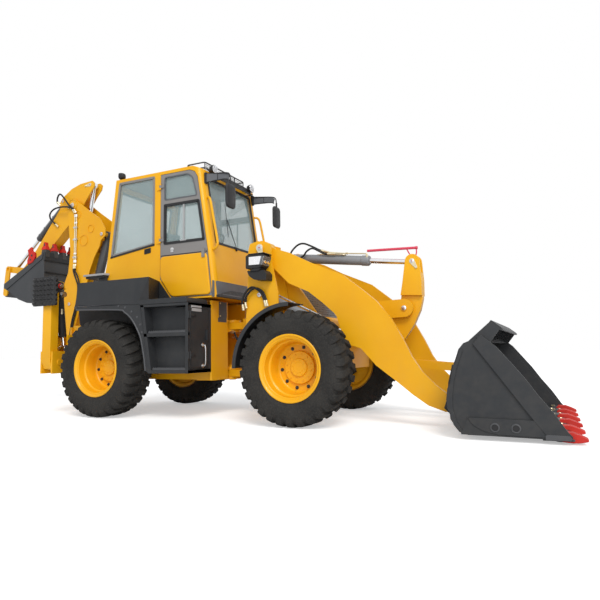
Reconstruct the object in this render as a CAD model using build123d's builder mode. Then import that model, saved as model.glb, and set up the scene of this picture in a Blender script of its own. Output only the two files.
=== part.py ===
"""Articulated backhoe loader: two frames hinged between the axles, a front loader and a rear digger.

Units are millimetres. +X points forward, +Y to the machine's left and +Z up. The origin is on the
ground under the middle of the overall length. Names ending in _X, _Y and _Z are places, the rest sizes.
"""
import os
from math import atan2, cos, degrees, hypot, radians, sin

from build123d import *

os.makedirs("parts", exist_ok=True)

# Wheels and the two axles
FRONT_AXLE_X = 1493.0
WHEELBASE = 2600.0
REAR_AXLE_X = FRONT_AXLE_X - WHEELBASE
TRACK = 1680.0
TYRE_RADIUS = 587.5
TYRE_WIDTH = 410.0
BEAD_RADIUS = 305.0
RIM_HALF_WIDTH = 166.0
RIM_FLANGE_RADIUS = 343.0
RIM_FLANGE = 12.0
RIM_WALL = 12.0
RIM_WELL_DEPTH = 20.0
DISC_INSET = 95.0
DISC_THICKNESS = 16.0
HUB_RADIUS = 168.0
HUB_PROUD = 34.0
HUB_CAP_RADIUS = 92.0
HUB_CAP_PROUD = 18.0
WHEEL_BOLTS = 10
WHEEL_BOLT_RADIUS = 13.0
WHEEL_BOLT_CIRCLE = 138.0
AXLE_SEAT_Z = 720.0
SEAT_GAP = 0.3
PIN_CLEARANCE = 0.05

# Articulation pivot between the frames, in the middle of the wheelbase
PIVOT_X = FRONT_AXLE_X - WHEELBASE / 2
PIVOT_PIN_RADIUS = 45.0
PIVOT_EYE_RADIUS = 105.0
PIVOT_LUG = 84.0
PIVOT_UPPER_Z = 1080.0
PIVOT_LOWER_Z = 495.0
PIVOT_PLATE = 32.0

# Front frame
FRONT_FRAME_REAR_X = FRONT_AXLE_X - 940.0
FRONT_FRAME_NOSE_X = FRONT_AXLE_X + 400.0
FRONT_FRAME_HALF_WIDTH = 330.0
FRAME_PLATE = 30.0
FRAME_BOTTOM_Z = 430.0
FRONT_FRAME_TOP_Z = 880.0
TOWER_OUTER_Y = 600.0
TOWER_INNER_Y = 372.0
TOWER_PLATE = 25.0
TOWER_REAR_X = FRONT_AXLE_X - 735.0
TOWER_FRONT_X = FRONT_AXLE_X - 330.0

# Hood, grille and engine
HOOD_HALF_WIDTH = 330.0
HOOD_WALL = 12.0
HOOD_REAR_X = FRONT_AXLE_X - 735.0
HOOD_TOP_Z = 1640.0
HOOD_NOSE_TOP_X = FRONT_AXLE_X - 285.0
HOOD_NOSE_TOP_Z = 1600.0
HOOD_NOSE_LOW_X = FRONT_AXLE_X + 60.0
HOOD_NOSE_LOW_Z = 1110.0
GRILLE_THICKNESS = 20.0
GRILLE_MARGIN = 45.0

# Loader arms and their pins
ARM_Y = 507.0
ARM_PLATE = 50.0
ARM_PIVOT_X = FRONT_AXLE_X - 545.0
ARM_PIVOT_Z = 1921.0
ARM_PIN_RADIUS = 40.0
BUCKET_PIN_X = FRONT_AXLE_X + 1480.0
BUCKET_PIN_Z = 207.0
BUCKET_PIN_RADIUS = 34.0
CRANK_PIN_X = FRONT_AXLE_X + 948.0
CRANK_PIN_Z = 1202.0
CRANK_PIN_RADIUS = 34.0
CRANK_TOP_X = FRONT_AXLE_X + 1045.0
CRANK_TOP_Z = 1712.0
CRANK_FOOT_X = FRONT_AXLE_X + 640.0
CRANK_FOOT_Z = 638.0
CRANK_PLATE = 76.0
CRANK_CHEEK_Y = 90.0
CRANK_CHEEK = 30.0
LINK_PIN_X = FRONT_AXLE_X + 1460.0
LINK_PIN_Z = 566.0
LINK_PIN_RADIUS = 28.0
LINK_CHEEK_Y = 58.0
LINK_CHEEK = 24.0
CROSS_TUBE_X = FRONT_AXLE_X + 560.0
CROSS_TUBE_Z = 1190.0
CROSS_TUBE_RADIUS = 78.0

# Loader cylinders
LIFT_Y = 429.0
LIFT_BASE_X = FRONT_AXLE_X - 560.0
LIFT_BASE_Z = 1391.0
LIFT_EYE_X = FRONT_AXLE_X + 483.0
LIFT_EYE_Z = 880.0
LIFT_BARREL_RADIUS = 46.0
LIFT_BARREL_LENGTH = 760.0
LIFT_ROD_RADIUS = 30.0
TILT_BASE_X = FRONT_AXLE_X - 500.0
TILT_BASE_Z = 1888.0
TILT_BARREL_RADIUS = 55.0
TILT_BARREL_LENGTH = 1050.0
TILT_ROD_RADIUS = 30.0
CYLINDER_WALL = 9.0
CYLINDER_EYE = 50.0
NECK = 38.0

# Loader bucket
BUCKET_HALF_WIDTH = 1100.0
BUCKET_WALL = 18.0
BUCKET_FLOOR_Z = 42.0
BUCKET_LIP_X = FRONT_AXLE_X + 2470.0
BUCKET_TOOTH_TIP_X = FRONT_AXLE_X + 2580.0
BUCKET_TEETH = 6
BUCKET_TOOTH_WIDTH = 92.0
BUCKET_TOOTH_INSET = 70.0
BUCKET_TOOTH_REACH_Y = BUCKET_HALF_WIDTH - BUCKET_TOOTH_INSET
SIDE_HOLE_X = FRONT_AXLE_X + 1993.0
SIDE_HOLE_Z = 113.5
SIDE_HOLE_SPACING = 160.0
SIDE_HOLE_RADIUS = 20.0

# Cab
CAB_HALF_WIDTH = 620.0
CAB_WALL = 40.0
CAB_FLOOR_Z = 1400.0
CAB_ROOF_Z = 3028.0
CAB_REAR_X = FRONT_AXLE_X - 2870.0
CAB_ROOF_REAR_X = FRONT_AXLE_X - 2695.0
CAB_ROOF_FRONT_X = FRONT_AXLE_X - 1350.0
CAB_WAIST_FRONT_X = FRONT_AXLE_X - 1192.0
CAB_FRONT_X = FRONT_AXLE_X - 1125.0
CAB_WAIST_Z = 1955.0
CAB_PILLAR = 60.0
DOOR_GAP = 6.0
DOOR_REAR_X = FRONT_AXLE_X - 1952.0
DOOR_BEVEL_X = FRONT_AXLE_X - 1776.0
DOOR_BEVEL_Z = 1668.0
DOOR_SILL_Z = 1425.0
DOOR_HEAD_Z = 2982.0
B_PILLAR = 100.0
DOOR_THICKNESS = 38.0
DOOR_HINGE_X = DOOR_REAR_X - 2
DOOR_HINGE_Y = 632.0
DOOR_HINGES_Z = (2150.0, 2830.0)
DOOR_KNUCKLE_RADIUS = 11.5
DOOR_HINGE_PIN_RADIUS = 6.0
DOOR_KNUCKLE = 18.0
DOOR_HINGE_HALF = 40.0
GLASS = 6.0

# Rear frame, fenders and step boxes
REAR_FRAME_FRONT_X = FRONT_AXLE_X - 1240.0
REAR_FRAME_REAR_X = FRONT_AXLE_X - 3640.0
REAR_FRAME_HALF_WIDTH = 420.0
REAR_FRAME_TOP_Z = 1150.0
BOX_OUTER_Y = 1000.0
BOX_INNER_Y = 560.0
BOX_FRONT_X = FRONT_AXLE_X - 1240.0
BOX_REAR_X = FRONT_AXLE_X - 1905.0
BOX_BOTTOM_Z = 530.0
BOX_TOP_Z = 1318.0
BOX_HINGE_X = BOX_FRONT_X + 10
BOX_HINGE_Y = 972.0
BOX_HINGES_Z = (730.0, 1180.0)
BOX_KNUCKLE_RADIUS = 9.0
BOX_HINGE_PIN_RADIUS = 5.0
BOX_KNUCKLE = 18.0
BOX_HINGE_HALF = 40.0
FENDER_TOP_Z = 1640.0
FENDER_LOW_Z = 1330.0
FENDER_REAR_X = FRONT_AXLE_X - 2925.0
FENDER_FRONT_X = FRONT_AXLE_X - 1800.0
FENDER_WALL = 12.0
FRONT_FENDER_RADIUS = 665.0

# Digger: swing post, boom, dipper and bucket
SWING_X = FRONT_AXLE_X - 3920.0
SWING_PIN_RADIUS = 45.0
SWING_EYE_RADIUS = 75.0
SWING_BRACKET = 50.0
SWING_LOW_Z = 520.0
SWING_HIGH_Z = 770.0
BOOM_FOOT_X = FRONT_AXLE_X - 4095.0
BOOM_FOOT_Z = 790.0
BOOM_HALF_WIDTH = 130.0
BOOM_PLATE = 16.0
BOOM_PIN_RADIUS = 36.0
BOOM_HEAD_X = FRONT_AXLE_X - 4040.0
BOOM_HEAD_Z = 2995.0
BOOM_CYL_TOP_X = FRONT_AXLE_X - 3440.0
BOOM_CYL_TOP_Z = 2490.0
BOOM_CYL_BASE_X = FRONT_AXLE_X - 3860.0
BOOM_CYL_BASE_Z = 1040.0
BOOM_CYL_RADIUS = 62.0
BOOM_CYL_LENGTH = 1230.0
DIPPER_HALF_WIDTH = 84.0
DIPPER_PLATE = 14.0
DIPPER_TIP_X = FRONT_AXLE_X - 5300.0
DIPPER_TIP_Z = 1880.0
DIPPER_CYL_EYE_X = FRONT_AXLE_X - 3744.0
DIPPER_CYL_EYE_Z = 3282.0
DIPPER_CYL_BASE_X = FRONT_AXLE_X - 4060.0
DIPPER_CYL_BASE_Z = 1500.0
DIPPER_CYL_RADIUS = 55.0
DIPPER_CYL_LENGTH = 1110.0
CURL_BASE_X = FRONT_AXLE_X - 4300.0
CURL_BASE_Z = 3100.0
CURL_EYE_X = FRONT_AXLE_X - 5440.0
CURL_EYE_Z = 2130.0
CURL_CYL_RADIUS = 45.0
CURL_CYL_LENGTH = 800.0
ROCKER_X = FRONT_AXLE_X - 5080.0
ROCKER_Z = 2075.0
EAR_X = FRONT_AXLE_X - 5488.0
EAR_Z = 1748.0
DIGGER_HALF_WIDTH = 270.0
DIGGER_WALL = 14.0
DIGGER_TEETH = 4

# Stabilizer legs
LEG_X = FRONT_AXLE_X - 3440.0
LEG_DEPTH = 150.0
LEG_PIVOT_Y = 905.0
LEG_PIVOT_Z = 660.0
LEG_HALF_WIDTH = 115.0
LEG_PAD_Z = 1640.0
LEG_CYL_TOP_Y = 835.0
LEG_CYL_TOP_Z = 1540.0
LEG_CYL_FOOT_Y = 750.0
LEG_CYL_FOOT_Z = 840.0
LEG_CYL_RADIUS = 48.0
LEG_CHANNEL_HALF = 54.0
LEG_PIN_RADIUS = 34.0
LEG_HUB_WALL = 20.0
LEG_CYL_LENGTH = 560.0
PAD_WIDTH = 400.0
PAD_HEIGHT = 370.0
PAD_OUTER_Y = 1070.0


def plate(points, y, thickness, mode=Mode.ADD):
    """A flat plate with its outline in X and Z, centred on y."""
    with BuildSketch(Plane.XZ.offset(-y)) as outline:
        with BuildLine():
            Polyline(*points, close=True)
        make_face()
    extrude(outline.sketch, amount=thickness / 2, both=True, mode=mode)


def strap(start, end, radius, y, thickness, mode=Mode.ADD):
    """A flat bar with round ends between two points given in X and Z, centred on y."""
    middle_x = (start[0] + end[0]) / 2
    middle_z = (start[1] + end[1]) / 2
    run = hypot(end[0] - start[0], end[1] - start[1])
    turn = degrees(atan2(end[1] - start[1], end[0] - start[0]))
    with BuildSketch(Plane.XZ.offset(-y)) as outline:
        with Locations((middle_x, middle_z)):
            SlotCenterToCenter(run, 2 * radius, rotation=turn)
    extrude(outline.sketch, amount=thickness / 2, both=True, mode=mode)


def rod(start, end, radius, mode=Mode.ADD):
    """A round bar between two points in space."""
    start, end = Vector(*start), Vector(*end)
    with BuildSketch(Plane(origin=start, z_dir=end - start)) as section:
        Circle(radius)
    extrude(section.sketch, amount=(end - start).length, mode=mode)


def pin(x, z, radius, y_low, y_high, mode=Mode.ADD):
    """A round bar across the machine."""
    rod((x, y_low, z), (x, y_high, z), radius, mode)


def block(x_low, x_high, y_low, y_high, z_low, z_high, mode=Mode.ADD):
    """A box between its limits."""
    size = (x_high - x_low, y_high - y_low, z_high - z_low)
    with Locations(((x_low + x_high) / 2, (y_low + y_high) / 2, (z_low + z_high) / 2)):
        Box(*size, mode=mode)


def along(start, end, distance):
    """The point at a distance from start towards end, in X and Z."""
    run = hypot(end[0] - start[0], end[1] - start[1])
    return (
        start[0] + (end[0] - start[0]) * distance / run,
        start[1] + (end[1] - start[1]) * distance / run,
    )


def keep(part, name):
    """Label a finished piece and write it."""
    part.label = name
    export_step(part, f"parts/{name}.step")


# Tyre and rim, made once about the origin with the outer face towards +Y
AXLE_PLANE = Plane(origin=(0, 0, 0), x_dir=(0, 1, 0), z_dir=(1, 0, 0))
tyre_bead = RIM_HALF_WIDTH - SEAT_GAP
half_tyre = TYRE_WIDTH / 2
tyre_profile = [
    (-tyre_bead, BEAD_RADIUS),
    (-tyre_bead, BEAD_RADIUS + 44),
    (-half_tyre, BEAD_RADIUS + 125),
    (-half_tyre + 4, BEAD_RADIUS + 190),
    (-half_tyre + 16, TYRE_RADIUS - 42),
    (-half_tyre + 42, TYRE_RADIUS - 6),
    (-half_tyre + 90, TYRE_RADIUS),
]
with BuildPart() as tyre:
    with BuildSketch(AXLE_PLANE):
        with BuildLine():
            Polyline(*tyre_profile, *[(-y, r) for y, r in reversed(tyre_profile)], close=True)
        make_face()
    revolve(axis=Axis.Y)

rim_outer = BEAD_RADIUS - SEAT_GAP
rim_profile = [
    (RIM_HALF_WIDTH + RIM_FLANGE, RIM_FLANGE_RADIUS),
    (RIM_HALF_WIDTH, RIM_FLANGE_RADIUS),
    (RIM_HALF_WIDTH, rim_outer),
    (70, rim_outer),
    (50, rim_outer - RIM_WELL_DEPTH),
    (-50, rim_outer - RIM_WELL_DEPTH),
    (-70, rim_outer),
    (-RIM_HALF_WIDTH, rim_outer),
    (-RIM_HALF_WIDTH, RIM_FLANGE_RADIUS),
    (-RIM_HALF_WIDTH - RIM_FLANGE, RIM_FLANGE_RADIUS),
    (-RIM_HALF_WIDTH - RIM_FLANGE, RIM_FLANGE_RADIUS - RIM_WALL),
    (-RIM_HALF_WIDTH, rim_outer - RIM_WALL),
    (-DISC_INSET - DISC_THICKNESS - 14, rim_outer - RIM_WALL),
    (-DISC_INSET - DISC_THICKNESS, rim_outer - RIM_WELL_DEPTH - RIM_WALL - 24),
    (-DISC_INSET - DISC_THICKNESS, 0),
    (-DISC_INSET + HUB_PROUD + HUB_CAP_PROUD, 0),
    (-DISC_INSET + HUB_PROUD + HUB_CAP_PROUD, HUB_CAP_RADIUS - 10),
    (-DISC_INSET + HUB_PROUD + HUB_CAP_PROUD - 8, HUB_CAP_RADIUS),
    (-DISC_INSET + HUB_PROUD, HUB_CAP_RADIUS),
    (-DISC_INSET + HUB_PROUD, HUB_RADIUS - 8),
    (-DISC_INSET + HUB_PROUD - 8, HUB_RADIUS),
    (-DISC_INSET, HUB_RADIUS),
    (-DISC_INSET, rim_outer - RIM_WELL_DEPTH - RIM_WALL - 34),
    (-DISC_INSET + 30, rim_outer - RIM_WELL_DEPTH - RIM_WALL),
    (50, rim_outer - RIM_WELL_DEPTH - RIM_WALL),
    (70, rim_outer - RIM_WALL),
    (RIM_HALF_WIDTH, rim_outer - RIM_WALL),
    (RIM_HALF_WIDTH + RIM_FLANGE, RIM_FLANGE_RADIUS - RIM_WALL),
]
with BuildPart() as rim:
    with BuildSketch(AXLE_PLANE):
        with BuildLine():
            Polyline(*rim_profile, close=True)
        make_face()
    revolve(axis=Axis.Y)
    with BuildSketch(Plane.XZ.offset(DISC_INSET - HUB_PROUD)):
        with PolarLocations(WHEEL_BOLT_CIRCLE, WHEEL_BOLTS):
            RegularPolygon(WHEEL_BOLT_RADIUS, 6)
    extrude(amount=-12)

wheel_places = [
    ("front_right", FRONT_AXLE_X, -1),
    ("front_left", FRONT_AXLE_X, 1),
    ("rear_right", REAR_AXLE_X, -1),
    ("rear_left", REAR_AXLE_X, 1),
]
for place, axle_x, side in wheel_places:
    turn = 0 if side > 0 else 180
    spot = Location((axle_x, side * TRACK / 2, TYRE_RADIUS), (0, 0, turn))
    keep(tyre.part.moved(spot), f"{place}_tyre")
    keep(rim.part.moved(spot), f"{place}_rim")

# Axles: housing, differential bulge and the hub flanges that carry the discs
disc_back_y = TRACK / 2 - DISC_INSET - DISC_THICKNESS
for name, axle_x in (("front_axle", FRONT_AXLE_X), ("rear_axle", REAR_AXLE_X)):
    with BuildPart() as axle:
        pin(axle_x, TYRE_RADIUS, 78, -disc_back_y + 60, disc_back_y - 60)
        for side in (-1, 1):
            hub_in = side * (disc_back_y - SEAT_GAP)
            pin(axle_x, TYRE_RADIUS, 150, *sorted((hub_in, hub_in - side * 90)))
            pin(axle_x, TYRE_RADIUS, 105, *sorted((hub_in - side * 80, hub_in - side * 330)))
        with Locations((axle_x, 0, TYRE_RADIUS)):
            Sphere(168)
        pin(axle_x, TYRE_RADIUS, 120, -260, 260)
        for side in (-1, 1):
            seat_y = sorted((side * 305, side * 425))
            block(axle_x - 90, axle_x + 90, *seat_y, 600, AXLE_SEAT_Z - SEAT_GAP)
    keep(axle.part, name)

# Front frame: side plates, cross plates, towers for the arms and the rear hinge eyes
tower_outline = [
    (TOWER_REAR_X - 5, 500),
    (TOWER_REAR_X - 5, 1120),
    (FRONT_AXLE_X - 712, 1560),
    (FRONT_AXLE_X - 702, 1912),
    (FRONT_AXLE_X - 681, 1981),
    (FRONT_AXLE_X - 574, 2005),
    (FRONT_AXLE_X - 417, 1954),
    (FRONT_AXLE_X - 401, 1722),
    (TOWER_FRONT_X, 1400),
    (TOWER_FRONT_X, 500),
]
pivot_top_z = PIVOT_UPPER_Z + PIVOT_LUG / 2 + PIVOT_PLATE
pivot_low_z = PIVOT_LOWER_Z - PIVOT_LUG / 2 - PIVOT_PLATE
with BuildPart() as front_frame:
    for side in (-1, 1):
        side_y = side * (FRONT_FRAME_HALF_WIDTH - FRAME_PLATE / 2)
        plate(
            [
                (FRONT_FRAME_REAR_X, FRAME_BOTTOM_Z),
                (FRONT_FRAME_REAR_X, 1150),
                (FRONT_FRAME_REAR_X + 130, 1150),
                (HOOD_REAR_X - 10, FRONT_FRAME_TOP_Z),
                (FRONT_FRAME_NOSE_X, FRONT_FRAME_TOP_Z),
                (FRONT_FRAME_NOSE_X, 560),
                (FRONT_AXLE_X + 250, 500),
                (FRONT_AXLE_X + 220, AXLE_SEAT_Z),
                (FRONT_AXLE_X - 220, AXLE_SEAT_Z),
                (FRONT_AXLE_X - 250, FRAME_BOTTOM_Z),
            ],
            side_y,
            FRAME_PLATE,
        )
        for tower_y in (TOWER_OUTER_Y - TOWER_PLATE / 2, TOWER_INNER_Y - TOWER_PLATE / 2):
            plate(tower_outline, side * tower_y, TOWER_PLATE)
        low_y, high_y = sorted((side * FRONT_FRAME_HALF_WIDTH, side * TOWER_OUTER_Y))
        block(TOWER_REAR_X, TOWER_REAR_X + 20, low_y, high_y, 500, 1250)
        block(TOWER_FRONT_X - 20, TOWER_FRONT_X, low_y, high_y, 500, 1150)
        block(TOWER_REAR_X, TOWER_FRONT_X, low_y, high_y, 500, 520)
        pin(ARM_PIVOT_X, ARM_PIVOT_Z, ARM_PIN_RADIUS, *sorted((side * 342, side * 622)))
        pin(LIFT_BASE_X, LIFT_BASE_Z, 30, *sorted((side * 342, side * 610)))
    inside = FRONT_FRAME_HALF_WIDTH - FRAME_PLATE + 5
    block(FRONT_FRAME_REAR_X, FRONT_FRAME_REAR_X + 30, -inside, inside, FRAME_BOTTOM_Z, 1150)
    block(FRONT_FRAME_NOSE_X - 60, FRONT_FRAME_NOSE_X, -inside, inside, 560, 860)
    block(FRONT_FRAME_REAR_X, FRONT_AXLE_X - 250, -inside, inside, FRAME_BOTTOM_Z, 450)
    pin(TILT_BASE_X - 20, 1765, 62, -TOWER_INNER_Y + 5, TOWER_INNER_Y - 5)
    for side in (-1, 1):
        plate(
            [
                (TILT_BASE_X - 80, 1765),
                (TILT_BASE_X - 62, TILT_BASE_Z + 40),
                (TILT_BASE_X - 20, TILT_BASE_Z + 62),
                (TILT_BASE_X + 40, TILT_BASE_Z + 50),
                (TILT_BASE_X + 62, TILT_BASE_Z),
                (TILT_BASE_X + 40, 1765),
            ],
            side * 44,
            24,
        )
    pin(TILT_BASE_X, TILT_BASE_Z, 28, -62, 62)
    for lug_z in (PIVOT_UPPER_Z, PIVOT_LOWER_Z):
        with BuildSketch(Plane.XY.offset(lug_z - PIVOT_LUG / 2)):
            with Locations(((PIVOT_X + FRONT_FRAME_REAR_X) / 2 + 20, 0)):
                Rectangle(FRONT_FRAME_REAR_X - PIVOT_X + 40, 2 * PIVOT_EYE_RADIUS)
            with Locations((PIVOT_X, 0)):
                Circle(PIVOT_EYE_RADIUS)
        extrude(amount=PIVOT_LUG)
    rod((PIVOT_X, 0, pivot_low_z - 12), (PIVOT_X, 0, PIVOT_LOWER_Z + 100), PIVOT_PIN_RADIUS)
    rod((PIVOT_X, 0, PIVOT_UPPER_Z - 100), (PIVOT_X, 0, pivot_top_z + 12), PIVOT_PIN_RADIUS)
keep(front_frame.part, "front_frame")

# Hood with an open underside and a sloping nose
hood_outline = [
    (HOOD_REAR_X, FRONT_FRAME_TOP_Z + SEAT_GAP),
    (HOOD_REAR_X, HOOD_TOP_Z),
    (HOOD_NOSE_TOP_X, HOOD_NOSE_TOP_Z),
    (HOOD_NOSE_LOW_X, HOOD_NOSE_LOW_Z),
    (HOOD_NOSE_LOW_X, FRONT_FRAME_TOP_Z + SEAT_GAP),
]
hood_inside = [
    (HOOD_REAR_X + HOOD_WALL, 800),
    (HOOD_REAR_X + HOOD_WALL, HOOD_TOP_Z - HOOD_WALL),
    (HOOD_NOSE_TOP_X - HOOD_WALL, HOOD_NOSE_TOP_Z - HOOD_WALL),
    (HOOD_NOSE_LOW_X - HOOD_WALL - 6, HOOD_NOSE_LOW_Z - HOOD_WALL),
    (HOOD_NOSE_LOW_X - HOOD_WALL, 800),
]
nose_top = (HOOD_NOSE_TOP_X, HOOD_NOSE_TOP_Z)
nose_low = (HOOD_NOSE_LOW_X, HOOD_NOSE_LOW_Z)
nose_run = hypot(nose_low[0] - nose_top[0], nose_low[1] - nose_top[1])
nose_plane = Plane(
    origin=((nose_top[0] + nose_low[0]) / 2, 0, (nose_top[1] + nose_low[1]) / 2),
    x_dir=(0, 1, 0),
    z_dir=(nose_top[1] - nose_low[1], 0, nose_low[0] - nose_top[0]),
)
grille_width = 2 * (HOOD_HALF_WIDTH - GRILLE_MARGIN)
grille_height = nose_run - 2 * GRILLE_MARGIN
with BuildPart() as hood:
    plate(hood_outline, 0, 2 * HOOD_HALF_WIDTH)
    plate(hood_inside, 0, 2 * (HOOD_HALF_WIDTH - HOOD_WALL), mode=Mode.SUBTRACT)
    with BuildSketch(nose_plane):
        Rectangle(grille_width, grille_height)
    extrude(amount=60, both=True, mode=Mode.SUBTRACT)
keep(hood.part, "hood")

with BuildPart() as grille:
    with BuildSketch(nose_plane.offset(-GRILLE_THICKNESS)):
        Rectangle(grille_width - 2 * SEAT_GAP, grille_height - 2 * SEAT_GAP)
    extrude(amount=GRILLE_THICKNESS - 4)
    with BuildSketch(nose_plane.offset(-GRILLE_THICKNESS)):
        with GridLocations(grille_width / 12, grille_height / 14, 11, 13):
            Circle(11)
    extrude(amount=GRILLE_THICKNESS, mode=Mode.SUBTRACT)
keep(grille.part, "grille")

with BuildPart() as engine:
    block(FRONT_AXLE_X - 690, FRONT_AXLE_X - 190, -240, 240, 560, 1260)
    chamfer(engine.edges().filter_by(Axis.Z), 40)
    block(FRONT_AXLE_X - 640, FRONT_AXLE_X - 260, -299.5, 299.5, 600, 640)
keep(engine.part, "engine")

# Front fenders: an arc of plate behind each front tyre with a bracket to the frame
with BuildPart() as front_fenders:
    for side in (-1, 1):
        low_y, high_y = sorted((side * 645, side * 1020))
        with BuildSketch(Plane.XZ.offset(-low_y)) as arc:
            with Locations((FRONT_AXLE_X, TYRE_RADIUS)):
                Circle(FRONT_FENDER_RADIUS)
                Circle(FRONT_FENDER_RADIUS - 10, mode=Mode.SUBTRACT)
            with BuildLine():
                Polyline(
                    (FRONT_AXLE_X, TYRE_RADIUS),
                    (FRONT_AXLE_X, TYRE_RADIUS + 900),
                    (FRONT_AXLE_X - 900, TYRE_RADIUS + 900),
                    (FRONT_AXLE_X - 900, TYRE_RADIUS),
                    close=True,
                )
            make_face(mode=Mode.INTERSECT)
        extrude(arc.sketch, amount=-(high_y - low_y))
        bracket_z = TYRE_RADIUS + FRONT_FENDER_RADIUS * sin(radians(40))
        bracket_x = FRONT_AXLE_X - FRONT_FENDER_RADIUS * cos(radians(40))
        bracket_y = sorted((side * (TOWER_OUTER_Y + SEAT_GAP), side * 700))
        block(bracket_x - 40, bracket_x + 20, *bracket_y, bracket_z - 20, bracket_z + 50)
keep(front_fenders.part, "front_fenders")

# Headlamps on brackets beside the towers
with BuildPart() as front_lamps:
    for side in (-1, 1):
        near = side * (TOWER_OUTER_Y + SEAT_GAP)
        block(FRONT_AXLE_X - 700, FRONT_AXLE_X - 470, *sorted((near, side * 640)), 1640, 1665)
        block(FRONT_AXLE_X - 640, FRONT_AXLE_X - 430, *sorted((near, side * 780)), 1665, 1820)
keep(front_lamps.part, "front_lamps")

# Loader arms: two plates, a cross tube and the cheeks that hold the bell crank
arm_outline = [
    (FRONT_AXLE_X - 655, 1860),
    (FRONT_AXLE_X - 640, 1985),
    (FRONT_AXLE_X - 560, 2015),
    (FRONT_AXLE_X - 400, 1913),
    (FRONT_AXLE_X - 222, 1851),
    (FRONT_AXLE_X + 16, 1728),
    (FRONT_AXLE_X + 406, 1555),
    (FRONT_AXLE_X + 607, 1394),
    (FRONT_AXLE_X + 768, 1258),
    (FRONT_AXLE_X + 922, 1062),
    (FRONT_AXLE_X + 1026, 873),
    (FRONT_AXLE_X + 1112, 690),
    (FRONT_AXLE_X + 1212, 538),
    (FRONT_AXLE_X + 1326, 420),
    (BUCKET_PIN_X - 44, BUCKET_PIN_Z + 123),
    (BUCKET_PIN_X, BUCKET_PIN_Z + 78),
    (BUCKET_PIN_X + 34, BUCKET_PIN_Z + 33),
    (BUCKET_PIN_X + 50, BUCKET_PIN_Z),
    (BUCKET_PIN_X + 30, BUCKET_PIN_Z - 42),
    (BUCKET_PIN_X - 58, BUCKET_PIN_Z - 50),
    (FRONT_AXLE_X + 1260, 213),
    (FRONT_AXLE_X + 1114, 313),
    (FRONT_AXLE_X + 949, 446),
    (FRONT_AXLE_X + 748, 599),
    (FRONT_AXLE_X + 590, 775),
    (LIFT_EYE_X + 30, LIFT_EYE_Z - 80),
    (LIFT_EYE_X - 50, LIFT_EYE_Z - 60),
    (LIFT_EYE_X - 85, LIFT_EYE_Z + 20),
    (FRONT_AXLE_X + 326, 1133),
    (FRONT_AXLE_X + 170, 1272),
    (FRONT_AXLE_X + 10, 1398),
    (FRONT_AXLE_X - 231, 1507),
    (FRONT_AXLE_X - 520, 1795),
]
with BuildPart() as loader_arms:
    for side in (-1, 1):
        plate(arm_outline, side * ARM_Y, ARM_PLATE)
        hub_low_y = side * (TOWER_INNER_Y + SEAT_GAP)
        hub_high_y = side * (TOWER_OUTER_Y - TOWER_PLATE - SEAT_GAP)
        hub_limits = sorted((hub_low_y, hub_high_y))
        pin(ARM_PIVOT_X, ARM_PIVOT_Z, 88, *hub_limits)
        pin(ARM_PIVOT_X, ARM_PIVOT_Z, ARM_PIN_RADIUS + PIN_CLEARANCE, *hub_limits, mode=Mode.SUBTRACT)
        bore = sorted((side * (ARM_Y - ARM_PLATE), side * (ARM_Y + ARM_PLATE)))
        pin(BUCKET_PIN_X, BUCKET_PIN_Z, BUCKET_PIN_RADIUS + PIN_CLEARANCE, *bore, mode=Mode.SUBTRACT)
        strap(
            (CROSS_TUBE_X, CROSS_TUBE_Z),
            (CRANK_PIN_X, CRANK_PIN_Z),
            98,
            side * CRANK_CHEEK_Y,
            CRANK_CHEEK,
        )
    pin(CROSS_TUBE_X, CROSS_TUBE_Z, CROSS_TUBE_RADIUS, -ARM_Y, ARM_Y)
    cheek_outer = CRANK_CHEEK_Y + CRANK_CHEEK / 2
    pin(CRANK_PIN_X, CRANK_PIN_Z, CRANK_PIN_RADIUS, -cheek_outer - 8, cheek_outer + 8)
keep(loader_arms.part, "loader_arms")

# Bell crank: one thick plate, hinged on the cheeks, with a hub that fills the space between them
crank_outline = [
    (CRANK_TOP_X - 80, CRANK_TOP_Z),
    (CRANK_PIN_X - 14, 1500),
    (CRANK_PIN_X - 48, 1300),
    (CRANK_PIN_X - 98, 1150),
    (CRANK_FOOT_X - 62, CRANK_FOOT_Z + 36),
    (CRANK_FOOT_X + 50, CRANK_FOOT_Z - 50),
    (FRONT_AXLE_X + 881, 800),
    (FRONT_AXLE_X + 1033, 1015),
    (FRONT_AXLE_X + 1110, 1180),
    (FRONT_AXLE_X + 1139, 1300),
    (FRONT_AXLE_X + 1141, 1499),
    (CRANK_TOP_X + 80, CRANK_TOP_Z),
]
hub_half = CRANK_CHEEK_Y - CRANK_CHEEK / 2 - SEAT_GAP
with BuildPart() as bell_crank:
    plate(crank_outline, 0, CRANK_PLATE)
    pin(CRANK_TOP_X, CRANK_TOP_Z, 80, -CRANK_PLATE / 2, CRANK_PLATE / 2)
    pin(CRANK_FOOT_X, CRANK_FOOT_Z, 72, -CRANK_PLATE / 2, CRANK_PLATE / 2)
    pin(CRANK_PIN_X, CRANK_PIN_Z, 66, -hub_half, hub_half)
    pin(CRANK_PIN_X, CRANK_PIN_Z, CRANK_PIN_RADIUS + PIN_CLEARANCE, -90, 90, mode=Mode.SUBTRACT)
    for side in (-1, 1):
        strap((CRANK_TOP_X, CRANK_TOP_Z), (CRANK_TOP_X + 20, CRANK_TOP_Z - 210), 74, side * 62, 30)
        block(
            CRANK_TOP_X - 40, CRANK_TOP_X + 60, *sorted((side * 30, side * 60)), 1430, 1500
        )
    plate(
        [
            (CRANK_TOP_X - 130, 1590),
            (CRANK_TOP_X - 130, 1830),
            (CRANK_TOP_X + 130, 1830),
            (CRANK_TOP_X + 130, 1590),
        ],
        0,
        2 * 46.5,
        mode=Mode.SUBTRACT,
    )
keep(bell_crank.part, "bell_crank")

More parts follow.
